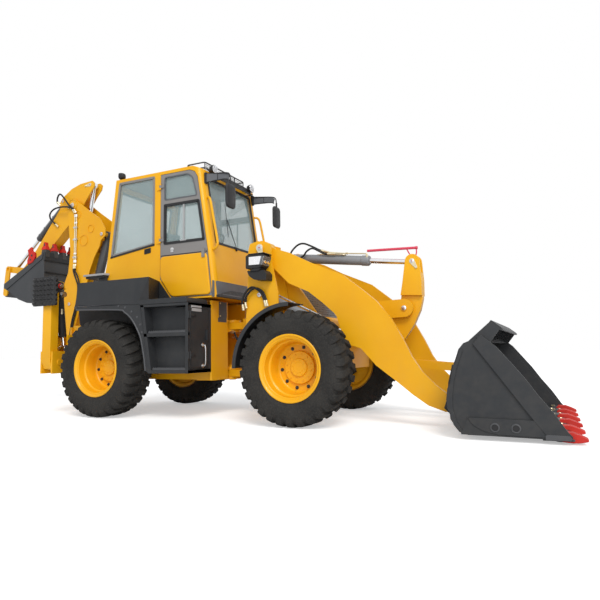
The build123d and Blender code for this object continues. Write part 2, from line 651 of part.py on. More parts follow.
# Tie link from the bell crank's foot to the bucket
with BuildPart() as tie_link:
    foot = (CRANK_FOOT_X, CRANK_FOOT_Z)
    head = (LINK_PIN_X, LINK_PIN_Z)
    for side in (-1, 1):
        strap(foot, head, 42, side * LINK_CHEEK_Y, LINK_CHEEK)
        stub = sorted((side * (CRANK_PLATE / 2 + 1), side * (LINK_CHEEK_Y + LINK_CHEEK / 2 + 6)))
        pin(*foot, LINK_PIN_RADIUS, *stub)
    web_start = along(foot, head, 250)
    web_end = along(foot, head, 620)
    strap(web_start, web_end, 30, 0, 2 * LINK_CHEEK_Y)
    pin(*head, LINK_PIN_RADIUS + PIN_CLEARANCE, -80, 80, mode=Mode.SUBTRACT)
keep(tie_link.part, "tie_link")

# Loader bucket: bent shell, side plates, spill guard, edge, teeth and the pin ears
bucket_back = [
    (BUCKET_LIP_X, BUCKET_FLOOR_Z),
    (FRONT_AXLE_X + 1700, BUCKET_FLOOR_Z),
    (FRONT_AXLE_X + 1640, 58),
    (FRONT_AXLE_X + 1590, 120),
    (FRONT_AXLE_X + 1558, 215),
    (FRONT_AXLE_X + 1550, 330),
    (FRONT_AXLE_X + 1560, 456),
    (FRONT_AXLE_X + 1596, 610),
    (FRONT_AXLE_X + 1650, 755),
    (FRONT_AXLE_X + 1691, 804),
    (FRONT_AXLE_X + 1740, 824),
]
wall = BUCKET_WALL
bucket_inside = [
    (BUCKET_LIP_X + 400, BUCKET_FLOOR_Z + wall),
    (FRONT_AXLE_X + 1706, BUCKET_FLOOR_Z + wall),
    (FRONT_AXLE_X + 1653, 58 + wall),
    (FRONT_AXLE_X + 1608, 130),
    (FRONT_AXLE_X + 1558 + wall, 220),
    (FRONT_AXLE_X + 1550 + wall, 330),
    (FRONT_AXLE_X + 1578, 452),
    (FRONT_AXLE_X + 1613, 603),
    (FRONT_AXLE_X + 1665, 744),
    (FRONT_AXLE_X + 1702, 788),
    (FRONT_AXLE_X + 1750, 806),
    (FRONT_AXLE_X + 2400, 806),
]
with BuildPart() as loader_bucket:
    plate([*bucket_back, (FRONT_AXLE_X + 1836, 862)], 0, 2 * BUCKET_HALF_WIDTH)
    plate(bucket_inside, 0, 2 * (BUCKET_HALF_WIDTH - BUCKET_WALL), mode=Mode.SUBTRACT)
    plate(
        [
            (FRONT_AXLE_X + 1738, 810),
            (FRONT_AXLE_X + 1734, 824),
            (FRONT_AXLE_X + 1918, 986),
            (FRONT_AXLE_X + 1990, 921),
            (FRONT_AXLE_X + 1980, 908),
            (FRONT_AXLE_X + 1919, 963),
            (FRONT_AXLE_X + 1756, 818),
        ],
        0,
        2 * (BUCKET_HALF_WIDTH - 30),
    )
    for side in (-1, 1):
        plate(
            [
                (FRONT_AXLE_X + 1734, 824),
                (FRONT_AXLE_X + 1918, 986),
                (FRONT_AXLE_X + 1990, 921),
                (FRONT_AXLE_X + 1900, 800),
            ],
            side * (BUCKET_HALF_WIDTH - BUCKET_WALL / 2 - 12),
            BUCKET_WALL,
        )
        plate(
            [
                (FRONT_AXLE_X + 1800, 858),
                (FRONT_AXLE_X + 1842, 870),
                (BUCKET_LIP_X + 10, BUCKET_FLOOR_Z - 4),
                (BUCKET_LIP_X - 150, BUCKET_FLOOR_Z - 4),
            ],
            side * (BUCKET_HALF_WIDTH + 6),
            14,
        )
        plate(
            [
                (FRONT_AXLE_X + 1640, BUCKET_FLOOR_Z + 4),
                (FRONT_AXLE_X + 1700, BUCKET_FLOOR_Z + 140),
                (BUCKET_LIP_X - 150, BUCKET_FLOOR_Z + 140),
                (BUCKET_LIP_X - 40, BUCKET_FLOOR_Z - 4),
            ],
            side * (BUCKET_HALF_WIDTH + 4),
            10,
        )
        through = sorted((side * (BUCKET_HALF_WIDTH - 40), side * (BUCKET_HALF_WIDTH + 40)))
        for hole_x in (SIDE_HOLE_X - SIDE_HOLE_SPACING / 2, SIDE_HOLE_X + SIDE_HOLE_SPACING / 2):
            pin(hole_x, SIDE_HOLE_Z, SIDE_HOLE_RADIUS, *through, mode=Mode.SUBTRACT)
        for ear_y in (ARM_Y - 44, ARM_Y + 44):
            plate(
                [
                    (FRONT_AXLE_X + 1568, 140),
                    (BUCKET_PIN_X - 10, BUCKET_PIN_Z - 66),
                    (BUCKET_PIN_X - 66, BUCKET_PIN_Z - 10),
                    (BUCKET_PIN_X - 46, BUCKET_PIN_Z + 50),
                    (FRONT_AXLE_X + 1568, 440),
                ],
                side * ear_y,
                26,
            )
        pin(BUCKET_PIN_X, BUCKET_PIN_Z, BUCKET_PIN_RADIUS, *sorted((side * 436, side * 564)))
    plate(
        [
            (FRONT_AXLE_X + 1576, 430),
            (LINK_PIN_X - 20, LINK_PIN_Z - 44),
            (LINK_PIN_X - 46, LINK_PIN_Z),
            (LINK_PIN_X - 20, LINK_PIN_Z + 44),
            (FRONT_AXLE_X + 1630, 670),
        ],
        0,
        2 * 38,
    )
    pin(LINK_PIN_X, LINK_PIN_Z, LINK_PIN_RADIUS, -76, 76)
    block(
        BUCKET_LIP_X - 200,
        BUCKET_LIP_X,
        -BUCKET_HALF_WIDTH,
        BUCKET_HALF_WIDTH,
        BUCKET_FLOOR_Z - 12,
        BUCKET_FLOOR_Z + 14,
    )
    for index in range(BUCKET_TEETH):
        step = 2 * BUCKET_TOOTH_REACH_Y / (BUCKET_TEETH - 1)
        plate(
            [
                (BUCKET_LIP_X - 90, BUCKET_FLOOR_Z + 30),
                (BUCKET_LIP_X - 10, BUCKET_FLOOR_Z + 48),
                (BUCKET_TOOTH_TIP_X, BUCKET_FLOOR_Z + 2),
                (BUCKET_TOOTH_TIP_X, BUCKET_FLOOR_Z - 6),
                (BUCKET_LIP_X - 30, BUCKET_FLOOR_Z - 20),
                (BUCKET_LIP_X - 90, BUCKET_FLOOR_Z - 12),
            ],
            -BUCKET_TOOTH_REACH_Y + index * step,
            BUCKET_TOOTH_WIDTH,
        )
keep(loader_bucket.part, "loader_bucket")


def barrel(base, eye, y, radius, length, eye_radius, eye_width, bore):
    """A cylinder barrel from its base pin, open at the rod's end, with a neck to a bored base eye."""
    pin(base[0], base[1], eye_radius, y - eye_width / 2, y + eye_width / 2)
    neck = along(base, eye, eye_radius * 0.6)
    start = along(base, eye, eye_radius + NECK)
    end = along(base, eye, length)
    rod((neck[0], y, neck[1]), (start[0], y, start[1]), eye_width / 2 - 2)
    rod((start[0], y, start[1]), (end[0], y, end[1]), radius)
    inside = along(base, eye, eye_radius + NECK + 15)
    rod((inside[0], y, inside[1]), (end[0], y, end[1]), radius - CYLINDER_WALL, mode=Mode.SUBTRACT)
    if bore:
        pin(base[0], base[1], bore + PIN_CLEARANCE, y - radius - 5, y + radius + 5, mode=Mode.SUBTRACT)


def piston_rod(base, eye, y, radius, piston_radius, depth, eye_radius, eye_width):
    """A rod with its piston inside the barrel and an eye at the open end."""
    start = along(base, eye, depth)
    piston_end = along(base, eye, depth + 40)
    rod((start[0], y, start[1]), (eye[0], y, eye[1]), radius)
    rod((start[0], y, start[1]), (piston_end[0], y, piston_end[1]), piston_radius)
    pin(eye[0], eye[1], eye_radius, y - eye_width / 2, y + eye_width / 2)


# Lift cylinders, one beside each arm, and the tilt cylinder above the hood
lift_base = (LIFT_BASE_X, LIFT_BASE_Z)
lift_eye = (LIFT_EYE_X, LIFT_EYE_Z)
with BuildPart() as lift_barrels:
    for side in (-1, 1):
        barrel(
            lift_base, lift_eye, side * LIFT_Y, LIFT_BARREL_RADIUS, LIFT_BARREL_LENGTH, 58, CYLINDER_EYE, 30
        )
keep(lift_barrels.part, "lift_cylinder_barrels")
with BuildPart() as lift_rods:
    for side in (-1, 1):
        piston_rod(
            lift_base,
            lift_eye,
            side * LIFT_Y,
            LIFT_ROD_RADIUS,
            LIFT_BARREL_RADIUS - CYLINDER_WALL - SEAT_GAP,
            150,
            56,
            CYLINDER_EYE,
        )
        pin(*lift_eye, 30, *sorted((side * (LIFT_Y - 32), side * (ARM_Y - ARM_PLATE / 2 - 1))))
keep(lift_rods.part, "lift_cylinder_rods")

tilt_base = (TILT_BASE_X, TILT_BASE_Z)
tilt_eye = (CRANK_TOP_X, CRANK_TOP_Z)
with BuildPart() as tilt_barrel:
    barrel(tilt_base, tilt_eye, 0, TILT_BARREL_RADIUS, TILT_BARREL_LENGTH, 52, 62, 28)
keep(tilt_barrel.part, "tilt_cylinder_barrel")
with BuildPart() as tilt_rod:
    piston_rod(
        tilt_base,
        tilt_eye,
        0,
        TILT_ROD_RADIUS,
        TILT_BARREL_RADIUS - CYLINDER_WALL - SEAT_GAP,
        700,
        54,
        CYLINDER_EYE,
    )
    pin(*tilt_eye, 28, -42, 42)
keep(tilt_rod.part, "tilt_cylinder_rod")

# Level indicator: a thin bar above the tilt rod, on two struts that stand on the rod's eye
with BuildPart() as level_indicator:
    bar_z = CRANK_TOP_Z + 158
    bar_end_x = CRANK_TOP_X + 38
    strut_z = CRANK_TOP_Z + 66
    rod((bar_end_x, 0, bar_z), (bar_end_x - 660, 0, bar_z + 24), 11)
    rod((bar_end_x - 8, 0, bar_z), (bar_end_x - 8, 0, strut_z), 6)
    rod((bar_end_x - 8, 0, strut_z), (CRANK_TOP_X - 50, 0, strut_z), 6)
    rod((CRANK_TOP_X - 50, 0, strut_z), (bar_end_x - 120, 0, bar_z + 4), 6)
    rod((CRANK_TOP_X, 0, strut_z), (CRANK_TOP_X, 0, CRANK_TOP_Z + 40), 8)
    pin(CRANK_TOP_X, CRANK_TOP_Z, 54 + SEAT_GAP, -30, 30, mode=Mode.SUBTRACT)
keep(level_indicator.part, "level_indicator")

# Cab: a hollow shell with door openings, a windscreen and rear and side windows
cab_outline = [
    (CAB_REAR_X, CAB_FLOOR_Z),
    (CAB_REAR_X, 1765),
    (CAB_REAR_X + 45, 1985),
    (CAB_ROOF_REAR_X, CAB_ROOF_Z),
    (CAB_ROOF_FRONT_X - 120, CAB_ROOF_Z),
    (CAB_ROOF_FRONT_X, CAB_ROOF_Z - 45),
    (CAB_WAIST_FRONT_X, CAB_WAIST_Z),
    (CAB_FRONT_X, CAB_FLOOR_Z),
]
cab_inside = [
    (CAB_REAR_X + CAB_WALL, CAB_FLOOR_Z + CAB_WALL),
    (CAB_REAR_X + CAB_WALL, 1760),
    (CAB_REAR_X + 45 + CAB_WALL, 1985),
    (CAB_ROOF_REAR_X + CAB_WALL + 4, CAB_ROOF_Z - 55),
    (CAB_ROOF_FRONT_X - 130, CAB_ROOF_Z - 55),
    (CAB_ROOF_FRONT_X - CAB_WALL - 6, CAB_ROOF_Z - 90),
    (CAB_WAIST_FRONT_X - CAB_WALL, CAB_WAIST_Z),
    (CAB_FRONT_X - CAB_WALL, CAB_FLOOR_Z + CAB_WALL),
]
door_outline = [
    (DOOR_REAR_X, DOOR_BEVEL_Z),
    (DOOR_REAR_X, DOOR_HEAD_Z),
    (CAB_ROOF_FRONT_X - 165, DOOR_HEAD_Z),
    (CAB_ROOF_FRONT_X - 92, DOOR_HEAD_Z - 30),
    (CAB_ROOF_FRONT_X - 50, DOOR_HEAD_Z - 100),
    (CAB_WAIST_FRONT_X - 58, CAB_WAIST_Z),
    (CAB_FRONT_X - 66, DOOR_SILL_Z),
    (DOOR_BEVEL_X, DOOR_SILL_Z),
]
rear_side_window = [
    (CAB_REAR_X + 45 + CAB_PILLAR, 2010),
    (CAB_ROOF_REAR_X + CAB_PILLAR, DOOR_HEAD_Z),
    (DOOR_REAR_X - B_PILLAR, DOOR_HEAD_Z),
    (DOOR_REAR_X - B_PILLAR, 2107),
]


def grow(points, amount):
    """An outline moved outwards by an amount, as points for a plate."""
    with BuildSketch() as grown:
        with BuildLine():
            Polyline(*points, close=True)
        make_face()
        offset(amount=amount, kind=Kind.INTERSECTION)
    edges = grown.sketch.faces()[0].outer_wire().order_edges()
    return [(edge.position_at(0).X, edge.position_at(0).Y) for edge in edges]


windscreen_low_z = 2060.0
windscreen_high_z = 2900.0
front_slope = (CAB_WAIST_FRONT_X - CAB_ROOF_FRONT_X) / (CAB_ROOF_Z - 45 - CAB_WAIST_Z)
with BuildPart() as cab:
    plate(cab_outline, 0, 2 * CAB_HALF_WIDTH)
    front_edges = cab.edges().filter_by(lambda e: e.center().X > CAB_ROOF_FRONT_X - 20)
    fillet([e for e in front_edges if abs(e.tangent_at(0.5).Y) < 0.5], 70)
    plate(cab_inside, 0, 2 * (CAB_HALF_WIDTH - CAB_WALL), mode=Mode.SUBTRACT)
    for side in (-1, 1):
        plate(grow(door_outline, DOOR_GAP), side * CAB_HALF_WIDTH, 3 * CAB_WALL, mode=Mode.SUBTRACT)
        plate(rear_side_window, side * CAB_HALF_WIDTH, 3 * CAB_WALL, mode=Mode.SUBTRACT)
    block(
        CAB_ROOF_FRONT_X - 60,
        CAB_FRONT_X + 100,
        -CAB_HALF_WIDTH + 110,
        CAB_HALF_WIDTH - 110,
        windscreen_low_z,
        windscreen_high_z,
        mode=Mode.SUBTRACT,
    )
    block(
        CAB_REAR_X - 50,
        CAB_ROOF_REAR_X + 90,
        -CAB_HALF_WIDTH + 90,
        CAB_HALF_WIDTH - 90,
        1900,
        windscreen_high_z,
        mode=Mode.SUBTRACT,
    )
    for side in (-1, 1):
        hinge_at = (DOOR_HINGE_X, side * DOOR_HINGE_Y)
        leaf_y = sorted((side * (CAB_HALF_WIDTH - 1), side * (CAB_HALF_WIDTH + 10)))
        arm_y = sorted((side * (CAB_HALF_WIDTH + 2), side * (CAB_HALF_WIDTH + 16)))
        for hinge_z in DOOR_HINGES_Z:
            low_z, high_z = hinge_z - DOOR_HINGE_HALF, hinge_z + DOOR_HINGE_HALF
            block(DOOR_HINGE_X - 56, DOOR_HINGE_X - 14, *leaf_y, low_z, high_z)
            for knuckle_z in (low_z, hinge_z + DOOR_KNUCKLE + SEAT_GAP):
                knuckle_high_z = knuckle_z + DOOR_HINGE_HALF - DOOR_KNUCKLE - SEAT_GAP
                block(DOOR_HINGE_X - 20, DOOR_HINGE_X, *arm_y, knuckle_z, knuckle_high_z)
                rod((*hinge_at, knuckle_z), (*hinge_at, knuckle_high_z), DOOR_KNUCKLE_RADIUS)
            pin_hole = DOOR_HINGE_PIN_RADIUS + PIN_CLEARANCE
            rod((*hinge_at, low_z - 5), (*hinge_at, high_z + 5), pin_hole, mode=Mode.SUBTRACT)
keep(cab.part, "cab")

# Fixed glass: windscreen, rear window and two rear side windows, each just inside its opening
with BuildPart() as cab_glass:
    screen_x = CAB_WAIST_FRONT_X - 30
    shift = front_slope * (windscreen_high_z - windscreen_low_z)
    low_x = screen_x - front_slope * (windscreen_low_z - CAB_WAIST_Z)
    screen = [
        (low_x, windscreen_low_z + SEAT_GAP),
        (low_x + GLASS, windscreen_low_z + SEAT_GAP),
        (low_x + GLASS - shift, windscreen_high_z - SEAT_GAP),
        (low_x - shift, windscreen_high_z - SEAT_GAP),
    ]
    plate(screen, 0, 2 * (CAB_HALF_WIDTH - 110 - SEAT_GAP))
    rear_low_x = CAB_REAR_X + 28
    rear_shift = (CAB_ROOF_REAR_X - CAB_REAR_X - 45) * (windscreen_high_z - 1900) / (CAB_ROOF_Z - 1985)
    rear_pane = [
        (rear_low_x + 10, 1900 + SEAT_GAP),
        (rear_low_x + 10 + GLASS, 1900 + SEAT_GAP),
        (rear_low_x + 10 + GLASS + rear_shift, windscreen_high_z - SEAT_GAP),
        (rear_low_x + 10 + rear_shift, windscreen_high_z - SEAT_GAP),
    ]
    plate(rear_pane, 0, 2 * (CAB_HALF_WIDTH - 90 - SEAT_GAP))
    for side in (-1, 1):
        plate(grow(rear_side_window, -SEAT_GAP), side * (CAB_HALF_WIDTH - 14), GLASS)
keep(cab_glass.part, "cab_glass")

# Doors: frame, two window openings and a closed lower panel; the panes are pieces of their own
upper_window = [
    (DOOR_REAR_X + 62, 2655),
    (DOOR_REAR_X + 62, DOOR_HEAD_Z - 42),
    (CAB_ROOF_FRONT_X - 190, DOOR_HEAD_Z - 42),
    (CAB_ROOF_FRONT_X - 118, DOOR_HEAD_Z - 96),
    (CAB_ROOF_FRONT_X - 56, 2655),
]
lower_window = [
    (DOOR_REAR_X + 62, 2100),
    (DOOR_REAR_X + 62, 2588),
    (CAB_WAIST_FRONT_X - 186, 2588),
    (CAB_WAIST_FRONT_X - 108, 2100),
]
for side, place in ((-1, "right"), (1, "left")):
    door_y = side * (CAB_HALF_WIDTH - DOOR_THICKNESS / 2)
    with BuildPart() as door:
        plate(door_outline, door_y, DOOR_THICKNESS)
        for window in (upper_window, lower_window):
            plate(window, door_y, 2 * DOOR_THICKNESS, mode=Mode.SUBTRACT)
        leaf_y = sorted((side * (CAB_HALF_WIDTH - 1), side * (DOOR_HINGE_Y + 2)))
        for hinge_z in DOOR_HINGES_Z:
            low_z, high_z = hinge_z - DOOR_KNUCKLE, hinge_z + DOOR_KNUCKLE
            block(DOOR_HINGE_X, DOOR_HINGE_X + 57, *leaf_y, low_z, high_z)
            hinge_at = (DOOR_HINGE_X, side * DOOR_HINGE_Y)
            rod((*hinge_at, low_z), (*hinge_at, high_z), DOOR_KNUCKLE_RADIUS)
            pin_low_z = hinge_z - DOOR_HINGE_HALF - 4
            pin_high_z = hinge_z + DOOR_HINGE_HALF + 4
            rod((*hinge_at, pin_low_z), (*hinge_at, pin_high_z), DOOR_HINGE_PIN_RADIUS)
        block(
            CAB_FRONT_X - 190,
            CAB_FRONT_X - 150,
            *sorted((side * (CAB_HALF_WIDTH - 4), side * (CAB_HALF_WIDTH + 34))),
            1880,
            1980,
        )
    keep(door.part, f"door_{place}")
    with BuildPart() as door_glass:
        for window in (upper_window, lower_window):
            plate(grow(window, -SEAT_GAP), door_y, GLASS)
    keep(door_glass.part, f"door_{place}_glass")

# Seat, steering column and console, seen through the glass
with BuildPart() as seat:
    seat_x = FRONT_AXLE_X - 2110
    block(seat_x - 240, seat_x + 240, -245, 245, 1700, 1830)
    block(seat_x - 290, seat_x - 170, -235, 235, 1830, 2420)
    block(seat_x - 180, seat_x + 180, -160, 160, CAB_FLOOR_Z + CAB_WALL + SEAT_GAP, 1700)
keep(seat.part, "seat")
with BuildPart() as console:
    console_x = FRONT_AXLE_X - 1400
    console_floor = CAB_FLOOR_Z + CAB_WALL + SEAT_GAP
    block(console_x - 110, console_x + 110, -180, 180, console_floor, 1980)
    rod((console_x - 40, 0, 1950), (console_x - 220, 0, 2184), 28)
    with BuildSketch(Plane(origin=(console_x - 214, 0, 2176), z_dir=(-170, 0, 220))):
        Circle(200)
        Circle(176, mode=Mode.SUBTRACT)
        Rectangle(360, 34)
    extrude(amount=22)
keep(console.part, "steering_console")

# Roof lamps on a rack at the front of the roof
with BuildPart() as roof_rack:
    rack_z = CAB_ROOF_Z + SEAT_GAP
    block(CAB_ROOF_FRONT_X - 330, CAB_ROOF_FRONT_X - 40, -470, 470, rack_z, rack_z + 34)
    for side in (-1, 1):
        block(
            CAB_ROOF_FRONT_X - 60,
            CAB_ROOF_FRONT_X + 50,
            side * 445 - 65,
            side * 445 + 65,
            rack_z,
            rack_z + 24,
        )
        block(
            CAB_ROOF_FRONT_X + 20,
            CAB_ROOF_FRONT_X + 95,
            side * 445 - 60,
            side * 445 + 60,
            CAB_ROOF_Z - 90,
            CAB_ROOF_Z + 24,
        )
keep(roof_rack.part, "roof_lamps")

# Mirrors on bent arms from the front corners of the roof
with BuildPart() as mirrors:
    for side in (-1, 1):
        root = (CAB_ROOF_FRONT_X - 20, side * (CAB_HALF_WIDTH - 60), CAB_ROOF_Z - 140)
        corner = (FRONT_AXLE_X - 955, side * (CAB_HALF_WIDTH - 40), 2850)
        rod((CAB_ROOF_FRONT_X + 36, root[1], 2880), corner, 13)
        rod(corner, (corner[0], corner[1], 2700), 13)
        block(
            corner[0] - 22, corner[0] + 22, corner[1] - 95, corner[1] + 95, 2440, 2720
        )
        block(CAB_ROOF_FRONT_X - 6, CAB_ROOF_FRONT_X + 60, root[1] - 30, root[1] + 30, 2850, 2910)
    plate(cab_outline, 0, 2 * CAB_HALF_WIDTH, mode=Mode.SUBTRACT)
keep(mirrors.part, "mirrors")

# Rear frame: side plates, hinge plates at the front and the digger's mast at the back
with BuildPart() as rear_frame:
    for side in (-1, 1):
        side_y = side * (REAR_FRAME_HALF_WIDTH - FRAME_PLATE / 2)
        plate(
            [
                (REAR_FRAME_FRONT_X - 20, FRAME_BOTTOM_Z),
                (REAR_FRAME_FRONT_X - 20, REAR_FRAME_TOP_Z),
                (REAR_FRAME_REAR_X, REAR_FRAME_TOP_Z),
                (REAR_FRAME_REAR_X, 420),
                (REAR_AXLE_X - 260, 420),
                (REAR_AXLE_X - 230, AXLE_SEAT_Z),
                (REAR_AXLE_X + 230, AXLE_SEAT_Z),
                (REAR_AXLE_X + 260, FRAME_BOTTOM_Z),
            ],
            side_y,
            FRAME_PLATE,
        )
        block(
            REAR_FRAME_FRONT_X - 20,
            REAR_FRAME_FRONT_X,
            *sorted((side * 205, side * (BOX_INNER_Y - 5))),
            FRAME_BOTTOM_Z,
            1370,
        )
    hinge_back_x = PIVOT_X - 260
    for plate_z in (PIVOT_UPPER_Z, PIVOT_LOWER_Z):
        for offset_z in (PIVOT_LUG / 2 + 1, -PIVOT_LUG / 2 - 1 - PIVOT_PLATE):
            with BuildSketch(Plane.XY.offset(plate_z + offset_z)):
                with Locations(((hinge_back_x + PIVOT_X + 20) / 2, 0)):
                    Rectangle(PIVOT_X + 20 - hinge_back_x, 2 * REAR_FRAME_HALF_WIDTH - 20)
                with Locations((PIVOT_X, 0)):
                    Circle(PIVOT_EYE_RADIUS)
            extrude(amount=PIVOT_PLATE)
    for side in (-1, 1):
        block(
            hinge_back_x,
            REAR_FRAME_FRONT_X - 15,
            *sorted((side * 205, side * 235)),
            pivot_low_z,
            1370,
        )
    rod((PIVOT_X, 0, 400), (PIVOT_X, 0, 1300), PIVOT_PIN_RADIUS + PIN_CLEARANCE, mode=Mode.SUBTRACT)
    wide = REAR_FRAME_HALF_WIDTH - 5
    block(hinge_back_x - 20, hinge_back_x, -wide, wide, FRAME_BOTTOM_Z, 1290)
    block(REAR_AXLE_X - 700, REAR_AXLE_X - 660, -wide, wide, 420, REAR_FRAME_TOP_Z)
    block(REAR_FRAME_REAR_X, REAR_FRAME_REAR_X + 60, -wide, wide, 420, REAR_FRAME_TOP_Z)
    block(REAR_FRAME_REAR_X, REAR_AXLE_X + 1000, -wide, wide, REAR_FRAME_TOP_Z - 30, REAR_FRAME_TOP_Z)
    for mount_x in (CAB_REAR_X + 160, CAB_FRONT_X - 420):
        for side in (-1, 1):
            block(
                mount_x,
                mount_x + 120,
                *sorted((side * 300, side * 420)),
                REAR_FRAME_TOP_Z - 10,
                CAB_FLOOR_Z - SEAT_GAP,
            )
keep(rear_frame.part, "rear_frame")

# Digger frame across the tail: leg housings at each side and the swing brackets behind
with BuildPart() as digger_frame:
    frame_front_x = LEG_X + LEG_DEPTH / 2 + 8
    frame_back_x = LEG_X - LEG_DEPTH / 2 - 8
    join_z = REAR_FRAME_TOP_Z + SEAT_GAP
    for low_x, high_x in ((frame_front_x, frame_front_x + 25), (frame_back_x - 25, frame_back_x)):
        for side in (-1, 1):
            plane_y = sorted((side * (REAR_FRAME_HALF_WIDTH + SEAT_GAP), side * 1010))
            block(low_x, high_x, *plane_y, 520, 800)
            upper_y = sorted((side * (REAR_FRAME_HALF_WIDTH + SEAT_GAP), side * 780))
            block(low_x, high_x, *upper_y, 790, 1010)
    for side in (-1, 1):
        rod(
            (frame_back_x - 34, side * LEG_PIVOT_Y, LEG_PIVOT_Z),
            (frame_front_x + 34, side * LEG_PIVOT_Y, LEG_PIVOT_Z),
            LEG_PIN_RADIUS,
        )
        inner = sorted((side * (REAR_FRAME_HALF_WIDTH + SEAT_GAP), side * (REAR_FRAME_HALF_WIDTH + 30)))
        block(REAR_FRAME_REAR_X - 30, frame_front_x + 25, *inner, 520, 1010)
    back_x = REAR_FRAME_REAR_X - SEAT_GAP
    for low_z in (SWING_LOW_Z, SWING_HIGH_Z):
        with BuildSketch(Plane.XY.offset(low_z)):
            with BuildLine():
                Polyline(
                    (back_x, -330),
                    (back_x, 330),
                    (SWING_X + 180, SWING_EYE_RADIUS),
                    (SWING_X, SWING_EYE_RADIUS),
                    (SWING_X, -SWING_EYE_RADIUS),
                    (SWING_X + 180, -SWING_EYE_RADIUS),
                    close=True,
                )
            make_face()
            with Locations((SWING_X, 0)):
                Circle(SWING_EYE_RADIUS)
                Circle(SWING_PIN_RADIUS + PIN_CLEARANCE, mode=Mode.SUBTRACT)
        extrude(amount=SWING_BRACKET)
    block(back_x - 30, back_x, -450, 450, 440, 1130)
keep(digger_frame.part, "digger_frame")

# Step box and tank beside the rear frame, with two steps cut in each side
with BuildPart() as step_boxes:
    for side in (-1, 1):
        low_y, high_y = sorted((side * BOX_INNER_Y, side * BOX_OUTER_Y))
        block(BOX_REAR_X, BOX_FRONT_X, low_y, high_y, BOX_BOTTOM_Z, BOX_TOP_Z)
        for step_z in (760, 1060):
            block(
                BOX_REAR_X + 130,
                BOX_FRONT_X - 120,
                *sorted((side * (BOX_OUTER_Y - 130), side * (BOX_OUTER_Y + 50))),
                step_z,
                step_z + 150,
                mode=Mode.SUBTRACT,
            )
        inner = sorted((side * (REAR_FRAME_HALF_WIDTH + SEAT_GAP), side * (BOX_INNER_Y + 5)))
        block(BOX_REAR_X + 80, BOX_REAR_X + 140, *inner, 900, 1000)
        block(BOX_FRONT_X - 200, BOX_FRONT_X - 140, *inner, 900, 1000)
    door_low = (BOX_INNER_Y + 30, BOX_BOTTOM_Z + 40)
    door_high = (BOX_OUTER_Y - 30, BOX_TOP_Z - 40)
    room_z = (door_low[1], door_high[1])
    block(BOX_FRONT_X - 100, BOX_FRONT_X + 20, -door_high[0], -door_low[0], *room_z, Mode.SUBTRACT)
    block(BOX_FRONT_X - 280, BOX_FRONT_X, -door_low[0] - 265, -door_low[0], *room_z, Mode.SUBTRACT)
    hinge_at = (BOX_HINGE_X, -BOX_HINGE_Y)
    for hinge_z in BOX_HINGES_Z:
        low_z, high_z = hinge_z - BOX_HINGE_HALF, hinge_z + BOX_HINGE_HALF
        block(BOX_FRONT_X - 1, BOX_HINGE_X, -BOX_OUTER_Y, -BOX_HINGE_Y - 9, low_z, high_z)
        for knuckle_z in (low_z, hinge_z + BOX_KNUCKLE + SEAT_GAP):
            knuckle_high_z = knuckle_z + BOX_HINGE_HALF - BOX_KNUCKLE - SEAT_GAP
            block(
                BOX_FRONT_X - 1, BOX_HINGE_X + 4, -BOX_HINGE_Y - 12, -BOX_HINGE_Y, knuckle_z, knuckle_high_z
            )
            rod((*hinge_at, knuckle_z), (*hinge_at, knuckle_high_z), BOX_KNUCKLE_RADIUS)
        pin_hole = BOX_HINGE_PIN_RADIUS + PIN_CLEARANCE
        rod((*hinge_at, low_z - 5), (*hinge_at, high_z + 5), pin_hole, mode=Mode.SUBTRACT)
keep(step_boxes.part, "step_boxes")

with BuildPart() as box_door:
    gap = DOOR_GAP
    block(
        BOX_FRONT_X - 20,
        BOX_FRONT_X,
        -door_high[0] + gap,
        -door_low[0] - gap,
        door_low[1] + gap,
        door_high[1] - gap,
    )
    block(BOX_FRONT_X - 2, BOX_FRONT_X + 26, -door_low[0] - 80, -door_low[0] - 56, 900, 1020)
    for hinge_z in BOX_HINGES_Z:
        low_z, high_z = hinge_z - BOX_KNUCKLE, hinge_z + BOX_KNUCKLE
        block(BOX_FRONT_X - 2, BOX_HINGE_X + 2, -BOX_HINGE_Y + 10, -BOX_HINGE_Y + 62, low_z, high_z)
        block(BOX_FRONT_X + 1, BOX_HINGE_X + 2, -BOX_HINGE_Y, -BOX_HINGE_Y + 11, low_z, high_z)
        rod((*hinge_at, low_z), (*hinge_at, high_z), BOX_KNUCKLE_RADIUS)
        pin_low_z = hinge_z - BOX_HINGE_HALF - 3
        pin_high_z = hinge_z + BOX_HINGE_HALF + 3
        rod((*hinge_at, pin_low_z), (*hinge_at, pin_high_z), BOX_HINGE_PIN_RADIUS)
keep(box_door.part, "box_door")

